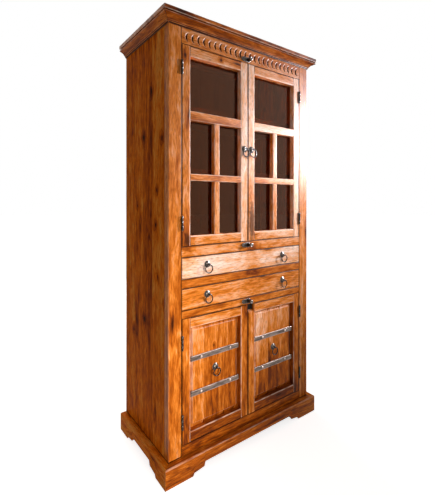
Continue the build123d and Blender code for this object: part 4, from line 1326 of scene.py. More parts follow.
# ---------------------------------------------------------------- plinth
@dataclass
class Plinth:
    """The mitred plinth with its bracket feet."""

    finishes: Finishes
    round_over: float = 5.0 * MM
    foot: float = 130.0 * MM
    side_foot: float = 86.0 * MM
    step: float = 12.0 * MM
    cove: float = 7.0 * MM
    slope_run: float = 48.0 * MM
    slope_rise: float = 6.0 * MM
    apron: float = 37.0 * MM

    def build(self) -> None:
        """Makes the front board and both side boards."""
        front = Extent.of("plinth_front")
        low, high, face = front.lo[0], front.hi[0], front.lo[1]
        board = self._board(
            front, Axis.X, Axis.Y, low, high, self.foot, tone=-0.10,
            mitre=lambda across, through: (low + (through - face), high - (through - face)),
        )
        make("plinth_board_front", [board], self.finishes.front, "carcass", "case_wood", "plinth_front")
        for side in Side:
            self.flank(side)

    def flank(self, side: Side) -> None:
        """Makes one side board, mitred at the front.

        Args:
            side: Which side.
        """
        node = f"plinth_{side.word()}"
        extent = Extent.of(node)
        outer = extent.lo[0] if side is Side.LEFT else extent.hi[0]
        start, end = extent.lo[1], extent.hi[1]
        board = self._board(
            extent, Axis.Y, Axis.X, start, end, self.side_foot, tone=0.02,
            mitre=lambda across, through: (start + abs(through - outer), end),
        )
        make(f"plinth_board_{side.word()}", [board], self.finishes.case, "carcass", "case_wood", node)

    def underside(self, from_end: float, foot: float) -> float:
        """The height of a board's lower edge.

        Args:
            from_end: Distance from the nearer end of the board.
            foot: The length of the foot there.

        Returns:
            The height above the floor.
        """
        rise = self.step + self.slope_rise
        t = from_end - foot
        if t <= 0:
            return 0.0
        if t <= self.cove:
            return self.step * math.sin(math.pi / 2 * t / self.cove)
        if t <= self.cove + self.slope_run:
            return self.step + self.slope_rise * (t - self.cove) / self.slope_run
        if t <= 2 * self.cove + self.slope_run:
            share = (t - self.cove - self.slope_run) / self.cove
            return rise + (self.apron - rise) * math.sin(math.pi / 2 * share)
        return self.apron

    def _board(
        self, extent: Extent, grain: Axis, face: Axis, start: float, end: float, foot: float,
        mitre: Mitre, tone: float,
    ) -> Board:
        """Lays out one board of the plinth.

        Args:
            extent: The board's box.
            grain: The axis along it.
            face: The axis that it faces.
            start: Its lower end along the grain.
            end: Its upper end.
            foot: The length of its feet.
            mitre: How its ends are cut.
            tone: Its tone.

        Returns:
            The board, to be cut to shape from its section.
        """
        g = grain.value
        marks = []
        run = self.slope_run
        for share in (0.0, 0.02, 0.25, 0.5, 0.75, 1.0):
            marks += [foot + self.cove * share, foot + self.cove + run + self.cove * share]
        stops = [start + m for m in marks] + [end - m for m in marks]

        def cut(place: Vector, spot: Spot, wear: float) -> tuple[Vector, float]:
            """Raises the lower half of the board to the apron's edge."""
            floor = self.underside(min(place[g] - start, end - place[g]), foot)
            top = extent.hi[2]
            share = (place.z - extent.lo[2]) / (top - extent.lo[2])
            return Vector((place.x, place.y, floor + (top - floor) * share)), wear

        near = extent.lo[face.value] if extent.centre(face) < 0 else extent.hi[face.value]
        far = extent.hi[face.value] if extent.centre(face) < 0 else extent.lo[face.value]
        corners = [(extent.lo[2], near), (extent.hi[2], near), (extent.hi[2], far), (extent.lo[2], far)]
        # The top round-over is rubbed a little paler, partly as a painted highlight.
        return Board(
            extent, grain, face, tone, (1.2 * MM, self.round_over, 0.8 * MM, 1.2 * MM), pitch=22 * MM,
            use=(0.2, 0.35, 0.0, 0.0), corners=corners, mitre=mitre, carving=cut, marks_along=stops,
            end_arris=0.15 * MM,
        )


# ---------------------------------------------------------------- doors
@dataclass
class DoorFrame:
    """Two stiles and two rails, mortised together."""

    node: str
    stile: float = 41.0 * MM
    rail: float = 42.0 * MM
    arris: float = 2.2 * MM
    inner_arris: float = 3.4 * MM
    rebate: float = 0.0
    rebate_depth: float = 0.0
    extent: Extent = field(init=False)

    def __post_init__(self) -> None:
        """Reads the frame's place."""
        self.extent = Extent.of(self.node)

    def opening(self) -> Extent:
        """The box of the opening between stiles and rails."""
        lo, hi = self.extent.lo, self.extent.hi
        return self.extent.along(Axis.X, lo[0] + self.stile, hi[0] - self.stile).along(
            Axis.Z, lo[2] + self.rail, hi[2] - self.rail)

    def add_to(self, piece: Workpiece, tones: Sequence[float], skip: Optional[Side] = None) -> None:
        """Adds the four members.

        Args:
            piece: The workpiece that gets them.
            tones: Tones of the left stile, right stile, top rail and bottom rail.
            skip: A stile that is made elsewhere.
        """
        gap = self.opening()
        spans = ((self.extent.lo[0], gap.lo[0]), (gap.hi[0], self.extent.hi[0]))
        for side, span, tone in zip(Side, spans, tones):
            if side is not skip:
                piece.board(self._member(self.extent.along(Axis.X, *span), Axis.Z, side is Side.LEFT, tone))
        inner = self.extent.along(Axis.X, gap.lo[0], gap.hi[0])
        piece.board(self._member(inner.along(Axis.Z, gap.hi[2], None), Axis.X, False, tones[2]))
        piece.board(self._member(inner.along(Axis.Z, None, gap.lo[2]), Axis.X, True, tones[3]))

    def _member(self, extent: Extent, grain: Axis, inner_high: bool, tone: float) -> Board:
        """Lays out one member, with the rebate along its inner edge.

        Args:
            extent: The member's box.
            grain: The axis along it.
            inner_high: Whether its inner edge is at the higher end of its width.
            tone: Its tone.

        Returns:
            The board.
        """
        across = Axis.X if grain is Axis.Z else Axis.Z
        lo, hi = extent.lo[across.value], extent.hi[across.value]
        front, back = extent.lo[1], extent.hi[1]
        outer, edge = (lo, hi) if inner_high else (hi, lo)
        board = Board(extent, grain, Axis.Y, tone=tone, pitch=26 * MM, end_arris=0.4 * MM, settled=0.05)
        if not self.rebate:
            board.corners = [(outer, front), (edge, front), (edge, back), (outer, back)]
            board.arris = (self.arris, self.inner_arris, self.arris, self.arris)
            # Painted shade on the outer edge in the door gap and on the back edge; the inner arris is rubbed
            # paler, partly as a painted highlight.
            board.use = (-1.2, 0.75, 0.3, -1)
            return board
        ledge = edge - self.rebate if inner_high else edge + self.rebate
        step = front + self.rebate_depth
        board.corners = [(outer, front), (edge, front), (edge, step), (ledge, step), (ledge, back),
                         (outer, back)]
        board.arris = (self.arris, self.inner_arris, 0.0, 0.0, 0.0, self.arris)
        # Painted shade on the outer edges and the rebate's step; the inner arris gets a bright painted
        # highlight.
        board.use = (-1.2, 1.3, -0.6, 0, 0, -1)
        if grain is Axis.Z:
            gap = self.opening()
            low, high = gap.lo[2] - self.rebate, gap.hi[2] + self.rebate
            board.marks_along = (low - SLIVER, low, high, high + SLIVER)

            def fill(place: Vector, spot: Spot, wear: float) -> tuple[Vector, float]:
                """Closes the rebate above and below the glass."""
                inside = abs(spot.across - ledge) < 0.1 * MM and abs(spot.through - step) < 0.1 * MM
                if inside and not low - 0.3 * SLIVER < place.z < high + 0.3 * SLIVER:
                    return Vector((edge, back, place.z)), wear
                return place, wear

            board.carving = fill
        return board


@dataclass
class Hinge:
    """A butt hinge with three knuckles and a pin."""

    height: float = 60.0 * MM
    knuckle: float = 4.5 * MM
    leaf: float = 1.4 * MM
    leaf_width: float = 24.0 * MM
    proud: float = 4.7 * MM
    play: float = 0.4 * MM
    pin: float = 1.8 * MM
    pin_gap: float = 0.75 * MM
    overrun: float = 1.5 * MM
    lift: float = 0.12 * MM

    def barrel(self, piece: Workpiece, x: float, z0: float, z1: float) -> None:
        """Adds one knuckle.

        Args:
            piece: The workpiece that gets it.
            x: Where the pin stands.
            z0: The knuckle's lower end.
            z1: Its upper end.
        """
        ease = 0.5 * MM
        r, height = self.knuckle, z1 - z0
        profile = [(r - 2 * ease, 0, 0.1), (r - ease, 0, 0.3), (r, ease, 0.3), (r, height / 2, 0.1),
                   (r, height - ease, 0.3), (r - ease, height, 0.3), (r - 2 * ease, height, 0.1)]
        piece.turned(Vector((x, FRONT_Y - self.proud, z0)), UP, profile, 24, 0.12 * MM)

    def plate(self, piece: Workpiece, x0: float, x1: float, y0: float, z0: float, z1: float) -> None:
        """Adds a flat leaf.

        Args:
            piece: The workpiece that gets it.
            x0: One face.
            x1: The other face.
            y0: Its front edge.
            z0: Its lower end.
            z1: Its upper end.
        """
        extent = Extent((min(x0, x1), y0, z0), (max(x0, x1), FRONT_Y + self.leaf_width, z1))
        piece.board(Board(extent, Axis.Z, Axis.X, arris=0.3 * MM, end_arris=0.3 * MM, pitch=15 * MM,
                          planing=0.05 * MM, knocks=0.1 * MM))

    def fixed(self, piece: Workpiece, pin: float, edge: float, outward: int, level: float) -> None:
        """Adds the post's leaf with its two knuckles and the pin.

        Args:
            piece: The workpiece that gets it.
            pin: Where the pin stands across the cupboard.
            edge: The post's inner edge.
            outward: The sign of X towards the post.
            level: The hinge's middle.
        """
        half, sixth = self.height / 2, self.height / 6
        face = edge - outward * self.lift
        self.plate(piece, face, face + outward * self.leaf, FRONT_Y - 2 * MM, level - half, level + half)
        self.barrel(piece, pin, level - half, level - sixth)
        self.barrel(piece, pin, level + sixth, level + half)
        over, r = half + self.overrun, self.pin
        profile = [(0.5 * r, 0, 1.0), (r, 0.5 * MM, 1.0), (r, over, 0.2), (r, 2 * over - 0.5 * MM, 1.0),
                   (0.5 * r, 2 * over, 1.0)]
        piece.turned(Vector((pin, FRONT_Y - self.proud, level - over)), UP, profile, 16, 0.0)

    def moving(self, piece: Workpiece, pin: float, edge: float, inward: int, level: float) -> None:
        """Adds the door's leaf with its middle knuckle.

        Args:
            piece: The workpiece that gets it.
            pin: Where the pin stands across the cupboard.
            edge: The door's outer edge.
            inward: The sign of X towards the door's middle.
            level: The hinge's middle.
        """
        half, reach = self.height / 2, self.height / 6 - self.play
        face = edge - inward * self.lift
        self.plate(piece, face, face + inward * self.leaf, FRONT_Y, level - half, level + half)
        self.plate(piece, face, face + inward * self.leaf, FRONT_Y - 3 * MM, level - reach, level + reach)
        self.barrel(piece, pin, level - reach, level + reach)


def hinge_levels(frame_node: str, gap: float = 1.5 * MM, inset: float = 98.0 * MM) -> Pair:
    """The heights of a door's two hinges.

    Args:
        frame_node: The door's frame.
        gap: The gap between the door and its opening.
        inset: From the end of the opening to a hinge's middle.

    Returns:
        The lower and the upper height.
    """
    extent = Extent.of(frame_node)
    return extent.lo[2] - gap + inset, extent.hi[2] + gap - inset


@dataclass
class RingPull:
    """A hammered rosette, its eye, and the ring that hangs in it."""

    radius: float = 18.0 * MM
    bar: float = 2.5 * MM
    rosette: float = 16.0 * MM
    dome: float = 7.0 * MM
    reach: float = 15.0 * MM
    eye_radius: float = 4.45 * MM
    eye_bar: float = 1.1 * MM

    def eye(self, ring_node: str) -> Vector:
        """Where the eye's middle is.

        Args:
            ring_node: The ring that hangs from it.

        Returns:
            The place.
        """
        extent = Extent.of(ring_node)
        return Vector((extent.centre(Axis.X), extent.centre(Axis.Y), extent.centre(Axis.Z) + self.radius))

    def plate(self, piece: Workpiece, ring_node: str) -> None:
        """Adds the rosette and the eye.

        Args:
            piece: The workpiece that gets them.
            ring_node: The ring that hangs from them.
        """
        eye = self.eye(ring_node)
        base = eye - FRONTWARD * self.reach
        r, h = self.rosette, self.dome
        profile = [(0.97 * r, 0, 0.2), (r, 0.5 * MM, 0.9), (0.97 * r, 1.5 * MM, 1.0),
                   (0.85 * r, 0.26 * h, 0.2), (0.80 * r, 0.40 * h, 0.3), (0.70 * r, 0.66 * h, 0.4),
                   (0.56 * r, 0.84 * h, 0.7), (0.38 * r, 0.95 * h, 1.0), (0.2 * r, h, 0.8)]
        piece.turned(base, FRONTWARD, profile, 40, 0.45 * MM)
        stem = [(3.1 * MM, 5.0 * MM, 0.1), (2.8 * MM, 7.5 * MM, 0.2), (2.3 * MM, 9.0 * MM, 0.3),
                (2.2 * MM, 10.6 * MM, 0.4)]
        piece.turned(base, FRONTWARD, stem, 20, 0.1 * MM)
        piece.hoop(eye, -FRONTWARD, UP, self.eye_radius, self.eye_bar, 36, 10, 0.05 * MM)

    def ring(self, node: str, body: str, material: Material) -> None:
        """Makes the hanging ring.

        Args:
            node: The ring's node.
            body: The body it rides on.
            material: Its finish.
        """
        middle = self.eye(node) - UP * self.radius
        piece = Workpiece(f"{node}_bar")
        piece.hoop(middle, Vector((1, 0, 0)), UP, self.radius, self.bar, 96, 14)
        piece.done(material, body, "forged_iron", node)


@dataclass
class Door:
    """What both kinds of door share: a side, a body, and the ironwork."""

    finishes: Finishes
    side: Side
    tier: str
    hinge: Hinge = field(default_factory=Hinge)
    pull: RingPull = field(default_factory=RingPull)

    def name(self) -> str:
        """The door's name, which is also its body's."""
        return f"{self.tier}_{self.side.word()}_door"

    def ironwork(self) -> Workpiece:
        """Starts the door's ironwork with its hinge leaves and its pull.

        Returns:
            The workpiece, for the door to finish.
        """
        name = self.name()
        extent = Extent.of(f"{name}_frame")
        edge = extent.lo[0] if self.side is Side.LEFT else extent.hi[0]
        pin = self.side.value * (abs(edge) + self.hinge.pin_gap)
        piece = Workpiece(f"{name}_fittings")
        for level in hinge_levels(f"{name}_frame"):
            self.hinge.moving(piece, pin, edge, -self.side.value, level)
        self.pull.plate(piece, f"{name}_ring")
        self.pull.ring(f"{name}_ring", f"{name}_ring", self.finishes.iron)
        return piece


@dataclass
class GlazedDoor(Door):
    """An upper door: frame, glazing bars, one sheet of glass and its beads.

    The tones are those of the left stile, right stile, top rail and bottom rail; the high tones of the
    meeting stiles and of the right door paint the key light's glare as pale wood.
    """

    tier: str = "upper"
    rebate: float = 8.0 * MM
    glass_depth: float = 25.0 * MM
    upper_bar: float = 40.0 * MM
    upper_bar_drop: float = 228.0 * MM
    lower_bar: float = 30.0 * MM
    lower_pane: float = 231.0 * MM
    muntin: float = 28.0 * MM
    # The meeting stiles and the right door are toned pale: painted glare of the key light.
    tones: Mapping[str, Sequence[float]] = field(default_factory=lambda: {
        "left": (0.04, 0.34, 0.06, 0.04), "right": (0.28, 0.34, 0.12, 0.24),
    })

    def build(self) -> None:
        """Makes the door."""
        name = self.name()
        outline = DoorFrame(f"{name}_frame", rebate=self.rebate, rebate_depth=self.glass_depth)
        frame_piece = Workpiece(f"{name}_stiles_and_rails")
        outline.add_to(frame_piece, self.tones[self.side.word()])
        frame_piece.done(self.finishes.front, name, "front_wood", f"{name}_frame")
        self.bars(outline.opening())
        self.glass()
        self.beads()
        self.ironwork().done(self.finishes.iron, name, "forged_iron", f"{name}_ironwork")

    def bars(self, gap: Extent) -> None:
        """Makes two cross bars and two muntins.

        Args:
            gap: The opening of the frame.
        """
        node = f"{self.name()}_bars"
        extent = Extent.of(node)
        top, bottom = gap.hi[2], gap.lo[2]
        high, low = top - self.upper_bar_drop, bottom + self.lower_pane
        middle, half = gap.centre(Axis.X), self.muntin / 2
        upright = extent.along(Axis.X, middle - half, middle + half)
        # The right door's bars are toned paler: painted glare.
        lift = 0.0 if self.side is Side.LEFT else 0.18
        boards = [Board(box.along(Axis.Z, *span), grain, Axis.Y, tone + lift, arris, 0.4 * MM, 16 * MM)
                  for box, span, grain, tone, arris in (
                      (extent, (high - self.upper_bar, high), Axis.X, 0.06, 2.9 * MM),
                      (extent, (low, low + self.lower_bar), Axis.X, 0.0, 2.9 * MM),
                      (upright, (low + self.lower_bar, high - self.upper_bar), Axis.Z, 0.08, 2.8 * MM),
                      (upright, (bottom, low), Axis.Z, 0.08, 2.8 * MM))]
        name = f"{self.name()}_glazing_bars"
        make(name, boards, self.finishes.front, self.name(), "front_wood", node)

    def glass(self) -> None:
        """Makes the sheet of glass."""
        node = f"{self.name()}_glass"
        sheet = Board(Extent.of(node), Axis.Z, Axis.Y, arris=0.3 * MM, end_arris=0.3 * MM,
                      planing=0.04 * MM, knocks=0.0, pitch=24 * MM, across_pitch=24 * MM)
        make(f"{self.name()}_pane", [sheet], self.finishes.glass, self.name(), "pane_glass", node)

    def beads(self) -> None:
        """Makes the four beads behind the glass."""
        node = f"{self.name()}_beads"
        extent = Extent.of(node)
        (left, _, bottom), (right, _, top), r = extent.lo, extent.hi, self.rebate
        upright = extent.along(Axis.Z, bottom + r, top - r)
        boards = [Board(box, grain, Axis.Y, arris=1.0 * MM) for box, grain in (
            (extent.along(Axis.Z, lo=top - r), Axis.X), (extent.along(Axis.Z, hi=bottom + r), Axis.X),
            (upright.along(Axis.X, hi=left + r), Axis.Z), (upright.along(Axis.X, lo=right - r), Axis.Z),
        )]
        name = f"{self.name()}_glass_beads"
        make(name, boards, self.finishes.front, self.name(), "front_wood", node)


@dataclass
class PanelledDoor(Door):
    """A lower door: frame, raised and fielded panel, straps with dome nails.

    The tones are those of the left stile, right stile, top rail and bottom rail.
    """

    tier: str = "lower"
    bevel: float = 20.0 * MM
    step: float = 2.0 * MM
    tongue_depth: float = 25.15 * MM
    strap_width: float = 22.0 * MM
    strap_pitch: float = 148.0 * MM
    nail_offset: float = 79.0 * MM
    nail: float = 6.5 * MM
    nail_height: float = 4.0 * MM
    notch_width: float = 33.0 * MM
    notch_height: float = 38.0 * MM
    notch_depth: float = 13.0 * MM
    tones: Mapping[str, Sequence[float]] = field(default_factory=lambda: {
        "left": (-0.08, -0.12, 0.02, -0.10), "right": (-0.04, -0.14, 0.04, -0.12),
    })

    def build(self) -> None:
        """Makes the door."""
        name = self.name()
        outline = DoorFrame(f"{name}_frame", inner_arris=3.0 * MM)
        frame_piece = Workpiece(f"{name}_stiles_and_rails")
        notched = self.side is Side.RIGHT
        outline.add_to(frame_piece, self.tones[self.side.word()], skip=Side.LEFT if notched else None)
        if notched:
            self.notched_stile(frame_piece, outline)
        frame_piece.done(self.finishes.front, name, "front_wood", f"{name}_frame")
        self.panel(outline.opening())
        self.straps()
        fittings = self.ironwork()
        if notched:
            self.strike(fittings, outline.extent)
        fittings.done(self.finishes.iron, name, "forged_iron", f"{name}_ironwork")

    def notched_stile(self, piece: Workpiece, outline: DoorFrame) -> None:
        """Adds the meeting stile with the notch for the latch at its top.

        Args:
            piece: The workpiece that gets it.
            outline: The door's frame.
        """
        extent = outline.extent.along(Axis.X, None, outline.opening().lo[0])
        notch = extent.hi[2] - self.notch_height
        deep = extent.lo[1] + self.notch_depth
        edge = extent.lo[0] + self.notch_width

        def cut(place: Vector, spot: Spot, wear: float) -> tuple[Vector, float]:
            """Sets the front of the stile back behind the latch, and paints shade on the notch's back."""
            if place.z > notch + 0.3 * SLIVER and place.x <= edge + 0.1 * MM and place.y < deep:
                return Vector((place.x, deep, place.z)), -1.0
            return place, wear

        # The meeting stile: painted shade on its gap edge, a painted highlight on its inner arris.
        piece.board(Board(
            extent, Axis.Z, Axis.Y, -0.08, (outline.arris, outline.inner_arris, 1.0 * MM, 1.0 * MM),
            use=(-1.2, 0.75, 0.3, -1), pitch=26 * MM, end_arris=0.4 * MM, carving=cut,
            marks_along=(notch, notch + SLIVER), marks_across=(edge, edge + SLIVER),
        ))

    def strike(self, piece: Workpiece, extent: Extent) -> None:
        """Adds the strike plate at the back of the notch.

        Args:
            piece: The workpiece that gets it.
            extent: The door's box.
        """
        depth = extent.lo[1] + self.notch_depth
        box = Extent((extent.lo[0], depth - 2 * MM, extent.hi[2] - self.notch_height),
                     (extent.lo[0] + self.notch_width, depth - 0.1 * MM, extent.hi[2]))
        piece.board(Board(box, Axis.Z, Axis.Y, arris=0.5 * MM, end_arris=0.5 * MM, pitch=12 * MM,
                          planing=0.2 * MM))

    def panel(self, gap: Extent) -> None:
        """Makes the panel from three upright boards.

        Args:
            gap: The opening of the frame.
        """
        node = f"{self.name()}_panel"
        extent = Extent.of(node)
        field_front, tongue = extent.lo[1], FRONT_Y + self.tongue_depth
        slope_top = field_front + self.step
        edges_x = (gap.lo[0] + self.bevel, gap.hi[0] - self.bevel)
        edges_z = (gap.lo[2] + self.bevel, gap.hi[2] - self.bevel)
        soft = 0.8 * MM

        def cut(place: Vector, spot: Spot, wear: float) -> tuple[Vector, float]:
            """Lays the bevel round the raised field, with a pale painted highlight along the field's edge and
            painted shade that deepens down the bevel.
            """
            if spot.out[1] > -0.9:
                return place, wear
            inside = min(place.x - edges_x[0], edges_x[1] - place.x,
                         place.z - edges_z[0], edges_z[1] - place.z)
            if inside >= 0:
                return place, max(wear, 0.5 * (inside < 0.2 * MM))
            if inside > -soft:
                down = self.step * (1 - math.cos(math.pi / 2 * -inside / soft))
                return Vector((place.x, place.y + down, place.z)), 0.5
            share = min(1.0, (-inside - soft) / (self.bevel - soft))
            slope = slope_top + (tongue - slope_top) * share
            return Vector((place.x, max(place.y, slope), place.z)), -0.25 * share

        steps = (-1.5 * MM, 0.0, 0.4 * MM, soft, self.bevel)
        marks, stops = ([low - d for d in steps] + [high + d for d in steps]
                        for low, high in (edges_x, edges_z))
        # The right panel is toned paler and darkens more towards its foot: painted light and shade of the key
        # light falling off downwards.
        tones = (0.0, -0.06, -0.02) if self.side is Side.LEFT else (0.26, 0.20, 0.20)
        settled = 0.08 if self.side is Side.LEFT else 0.32
        boards = [Board(
            stave, Axis.Z, Axis.Y, tone=tone, arris=0.5 * MM, use=(-0.6, -0.6, 0, 0), pitch=24 * MM,
            across_pitch=16 * MM, knocks=0.2 * MM, end_arris=0.2 * MM, carving=cut, marks_along=stops,
            marks_across=marks, settled=settled,
        ) for stave, tone in zip(extent.staves(Axis.X, 3, node, 0.25), tones)]
        name = f"{self.name()}_fielded_panel"
        make(name, boards, self.finishes.front, self.name(), "front_wood", node)

    def straps(self) -> None:
        """Makes the two straps with their nails."""
        node = f"{self.name()}_straps"
        extent = Extent.of(node)
        back = extent.hi[1]
        front = extent.lo[1] + 0.92 * self.nail_height
        piece = Workpiece(f"{self.name()}_strap_bars")
        for sign in (-1, 1):
            level = extent.centre(Axis.Z) + sign * self.strap_pitch / 2
            half = self.strap_width / 2
            bar = Extent((extent.lo[0], front, level - half), (extent.hi[0], back, level + half))
            piece.board(Board(bar, Axis.X, Axis.Y, arris=1.1 * MM, end_arris=0.8 * MM, pitch=7 * MM,
                              across_pitch=6 * MM, planing=0.5 * MM, knocks=1.0 * MM))
            for offset in (-self.nail_offset, self.nail_offset):
                base = Vector((extent.centre(Axis.X) + offset, front + 0.4 * MM, level))
                r, h = self.nail, self.nail_height
                dome = [(r, 0, 0.1)]
                for k in range(1, 8):
                    angle = math.pi / 2 * k / 8
                    dome.append((r * math.cos(angle), h * math.sin(angle), 0.3 + 0.7 * k / 8))
                piece.turned(base, FRONTWARD, dome, 28, 0.3 * MM)
        piece.done(self.finishes.strap, self.name(), "forged_iron", node)


# ---------------------------------------------------------------- drawers
@dataclass
class Drawer:
    """An inset drawer: its front, its box, and two ring pulls."""

    finishes: Finishes
    name: str
    tone: float
    side: float = 14.0 * MM
    bottom: float = 8.0 * MM
    pull: RingPull = field(default_factory=RingPull)

    def build(self) -> None:
        """Makes the drawer."""
        node = f"{self.name}_front"
        # Painted shade on the edges and ends beside the gaps.
        front = Board(Extent.of(node), Axis.X, Axis.Y, self.tone, 2.0 * MM, end_arris=1.4 * MM,
                      use=(-1.2, -1.2, 0, 0), end_use=-0.5, pitch=22 * MM, across_pitch=18 * MM)
        make(f"{self.name}_face", [front], self.finishes.front, self.name, "front_wood", node)
        self.box()
        plates = Workpiece(f"{self.name}_rosettes")
        for side in Side:
            node = f"{self.name}_ring_{side.word()}"
            self.pull.plate(plates, node)
            self.pull.ring(node, node, self.finishes.iron)
        plates.done(self.finishes.iron, self.name, "forged_iron", f"{self.name}_pull_plates")

    def box(self) -> None:
        """Makes the sides, the back and the bottom."""
        whole = Extent.of(f"{self.name}_box")
        floor = whole.lo[2] + self.side / 2
        left, right = whole.lo[0] + self.side, whole.hi[0] - self.side
        boards = [Board(whole.along(Axis.X, *ends), Axis.Y, Axis.X, arris=1.2 * MM, pitch=60 * MM)
                  for ends in ((None, left), (right, None))]
        inner = whole.along(Axis.X, left, right)
        back = inner.along(Axis.Y, lo=whole.hi[1] - self.side).along(Axis.Z, lo=floor + self.bottom)
        boards.append(Board(back, Axis.X, Axis.Y, arris=1.0 * MM, pitch=60 * MM))
        sheet = inner.along(Axis.Z, floor, floor + self.bottom)
        boards += [Board(stave, Axis.X, Axis.Z, arris=0.5 * MM, pitch=60 * MM)
                   for stave in sheet.staves(Axis.Y, 3, self.name)]
        node = f"{self.name}_box"
        make(f"{self.name}_tray", boards, self.finishes.inside, self.name, "inside_wood", node)


# ---------------------------------------------------------------- turn latches and fixed hinges
@dataclass
class TurnLatch:
    """A turn latch: a rounded tongue, a peg with a dimple in its end, and the pivot."""

    finishes: Finishes
    node: str
    width: float = 24.0 * MM
    taper: float = 0.8
    thickness: float = 5.0 * MM
    standoff: float = 0.6 * MM
    peg: float = 9.0 * MM
    peg_length: float = 23.0 * MM
    dimple: float = 4.5 * MM
    dimple_depth: float = 3.5 * MM
    pivot: float = 3.9 * MM
    pivot_length: float = 22.0 * MM

    def build(self) -> None:
        """Makes the latch."""
        extent = Extent.of(self.node)
        centre = Vector((extent.hi[0] - self.width / 2, 0, extent.centre(Axis.Z)))
        piece = Workpiece(f"{self.node}_tongue")
        back = FRONT_Y - self.standoff
        self.tongue(piece, centre, extent.lo[0], back)
        start = Vector((centre.x, back - self.thickness + 0.4 * MM, centre.z))
        r, length, hollow = self.peg, self.peg_length + 0.4 * MM, self.dimple
        ease, depth = 0.8 * MM, self.dimple_depth
        profile = [(r, 0, 0.1), (0.93 * r, 0.2 * length, 0.2), (0.90 * r, 0.5 * length, 0.3),
                   (0.96 * r, 0.8 * length, 0.5), (r, length - 2.2 * MM, 0.9),
                   (0.94 * r, length - ease, 1.0), (0.80 * r, length, 1.0), (1.15 * hollow, length, 0.9),
                   (0.9 * hollow, length - ease, 0.5), (0.55 * hollow, length - 0.85 * depth, 0.2),
                   (0.2 * hollow, length - depth, 0.1)]
        piece.turned(start, FRONTWARD, profile, 36, 0.3 * MM)
        pin = [(self.pivot, 0, 0.0), (self.pivot, self.pivot_length, 0.0)]
        piece.turned(Vector((centre.x, back - 1 * MM, centre.z)), -FRONTWARD, pin, 20, 0.0)
        piece.done(self.finishes.iron, self.node, "forged_iron", self.node)

    def tongue(self, piece: Workpiece, centre: Vector, tip_x: float, back: float) -> None:
        """Adds the tongue as a stack of its outline.

        Args:
            piece: The workpiece that gets it.
            centre: The pivot's place.
            tip_x: The tongue's far end.
            back: The depth of its back face.
        """
        half = self.width / 2
        tip = half * self.taper
        reach = centre.x - tip_x - tip
        ease = 0.9 * MM
        t = self.thickness
        layers = [(2 * ease, 0.0, 0.2), (ease, 0.0, 0.8), (0.3 * ease, 0.3 * ease, 1.0), (0.0, ease, 0.9),
                  (0.0, t - ease, 0.9), (0.3 * ease, t - 0.3 * ease, 1.0), (ease, t, 0.9), (2 * ease, t, 0.3)]
        rings = []
        for inset, height, wear in layers:
            ring = []
            for middle, radius, first in ((0.0, half, 90), (-reach, tip, -90)):
                for k in range(13):
                    angle = math.radians(first - 180 * k / 12)
                    x = centre.x + middle + (radius - inset) * math.cos(angle)
                    z = centre.z + (radius - inset) * math.sin(angle)
                    place = Vector((x, back - height, z))
                    ring.append(piece.point(place, place, 0.0, wear))
            rings.append(ring)
        piece.skin(rings)


@dataclass
class FixedHinges:
    """The post's half of the eight hinges."""

    finishes: Finishes
    hinge: Hinge = field(default_factory=Hinge)

    def build(self) -> None:
        """Makes all eight as one piece."""
        piece = Workpiece("hinge_leaves_and_pins")
        for side in Side:
            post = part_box(f"front_post_{side.word()}")
            edge = post[1].x if side is Side.LEFT else post[0].x
            pin = edge - side.value * self.hinge.pin_gap
            for tier in ("upper", "lower"):
                for level in hinge_levels(f"{tier}_{side.word()}_door_frame"):
                    self.hinge.fixed(piece, pin, edge, side.value, level)
        piece.done(self.finishes.iron, "carcass", "forged_iron", "hinge_fixed_leaves")


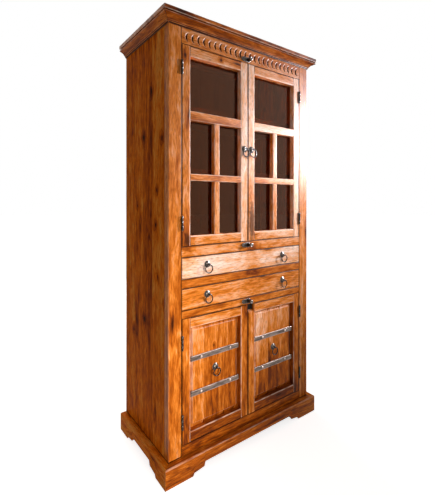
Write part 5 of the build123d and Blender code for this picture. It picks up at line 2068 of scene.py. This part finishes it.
# ---------------------------------------------------------------- studio
@dataclass
class Studio:
    """The camera, the pale floor, the lamps and the white surround."""

    camera_place: Triple = (-1.0943, -1.4480, 1.1305)
    camera_turn: float = -36.33
    focal_pixels: float = 349.85
    drop_pixels: float = -45.98
    sensor: float = 36.0
    ambient: float = 0.29
    floor_glow: float = 0.79
    floor_reach: float = 30.0

    def build(self) -> None:
        """Sets everything up."""
        self.camera()
        self.floor()
        self.lamps()
        self.surround()
        bpy.context.scene.view_settings.view_transform = "Standard"

    def camera(self) -> None:
        """Sets the camera up level, with the lens shifted down."""
        lens = bpy.data.cameras.new("portrait_camera")
        lens.sensor_width = self.sensor
        lens.lens = self.focal_pixels / IMAGE_HEIGHT * self.sensor
        lens.shift_y = self.drop_pixels / IMAGE_HEIGHT
        stand = bpy.data.objects.new("portrait_camera", lens)
        stand.location = self.camera_place
        stand.rotation_euler = (math.pi / 2, 0, math.radians(self.camera_turn))
        bpy.context.collection.objects.link(stand)
        bpy.context.scene.camera = stand

    def floor(self) -> None:
        """Lays a pale floor that keeps the cupboard's shadow."""
        mesh = bmesh.new()
        bmesh.ops.create_circle(mesh, cap_ends=True, segments=96, radius=self.floor_reach)
        data = bpy.data.meshes.new("studio_floor")
        mesh.to_mesh(data)
        mesh.free()
        material, tree = new_material("matt_white_studio_floor")
        glow = maths(tree, "MULTIPLY", in_view(tree), self.floor_glow)
        surface = add(tree, "ShaderNodeBsdfPrincipled", {
            "Base Color": linear("#EDEBE8"), "Roughness": 0.95, "Specular IOR Level": 0.0,
            "Emission Color": linear("#FFFFFF"), "Emission Strength": glow,
        })
        add(tree, "ShaderNodeOutputMaterial", {"Surface": surface})
        data.materials.append(material)
        sheet = bpy.data.objects.new("studio_floor", data)
        bpy.context.collection.objects.link(sheet)

    def lamp(
        self, name: str, place: Triple, aim: Triple,
        size: Pair, watts: float, colour: str, spread: float = 180.0,
    ) -> bpy.types.Object:
        """Hangs a softbox.

        Args:
            name: The lamp's name.
            place: Where it hangs.
            aim: What it points at.
            size: Its width and height.
            watts: Its power.
            colour: Its colour.
            spread: The angle of its beam in degrees.

        Returns:
            The lamp.
        """
        light = bpy.data.lights.new(name, "AREA")
        light.shape = "RECTANGLE"
        light.size, light.size_y = size
        light.energy = watts
        light.spread = math.radians(spread)
        light.color = linear(colour)[:3]
        stand = bpy.data.objects.new(name, light)
        stand.location = place
        stand.rotation_euler = (Vector(aim) - Vector(place)).to_track_quat("-Z", "Y").to_euler()
        stand.visible_transmission = False
        bpy.context.collection.objects.link(stand)
        return stand

    def lamps(self) -> None:
        """Hangs a warm key with a cool gleam on the right, a low fill in front, and a wide one behind."""
        self.lamp("key_softbox", (2.35, -1.42, 1.62), (-0.05, -0.2, 1.20), (0.18, 0.26), 7.4, "#FFF6EE", 44.0)
        gleam = self.lamp(
            "key_gleam", (2.40, -1.45, 1.90), (0.2, -0.2, 1.54), (0.40, 0.70), 62.0, "#E4ECFF", 56.0
        )
        gleam.visible_diffuse = False
        self.lamp("fill_softbox", (-0.4, -2.7, 0.45), (-0.62, -0.2, 0.42), (0.6, 0.6), 4.6, "#FFF8F0", 40.0)
        self.lamp("back_softbox", (0.6, 3.2, 1.7), (0.0, 0.24, 1.0), (1.4, 1.4), 60.0, "#FFF8F0")

    def surround(self) -> None:
        """Lights the room evenly and shows it white."""
        world = bpy.data.worlds.new("white_surround")
        world.use_nodes = True
        bpy.context.scene.world = world
        tree = world.node_tree
        tree.nodes.clear()
        level = remap(tree, in_view(tree), (0.0, 1.0), (self.ambient, 1.0))
        white = add(tree, "ShaderNodeBackground", {"Color": linear("#FFFFFF"), "Strength": level})
        add(tree, "ShaderNodeOutputWorld", {"Surface": white})


def main() -> None:
    """Builds the cupboard and the studio."""
    logging.basicConfig(level=logging.INFO, format="%(message)s")
    finishes = Finishes()
    Carcass(finishes).build()
    Frieze(finishes).build()
    Crown(finishes).build()
    Plinth(finishes).build()
    for side in Side:
        GlazedDoor(finishes, side).build()
        PanelledDoor(finishes, side).build()
    Drawer(finishes, "upper_drawer", tone=0.36).build()
    Drawer(finishes, "lower_drawer", tone=0.10).build()
    FixedHinges(finishes).build()
    for node in ("latch_frieze", "latch_waist", "latch_lower_head"):
        TurnLatch(finishes, node).build()
    Studio().build()


if __name__ == "__main__":
    main()
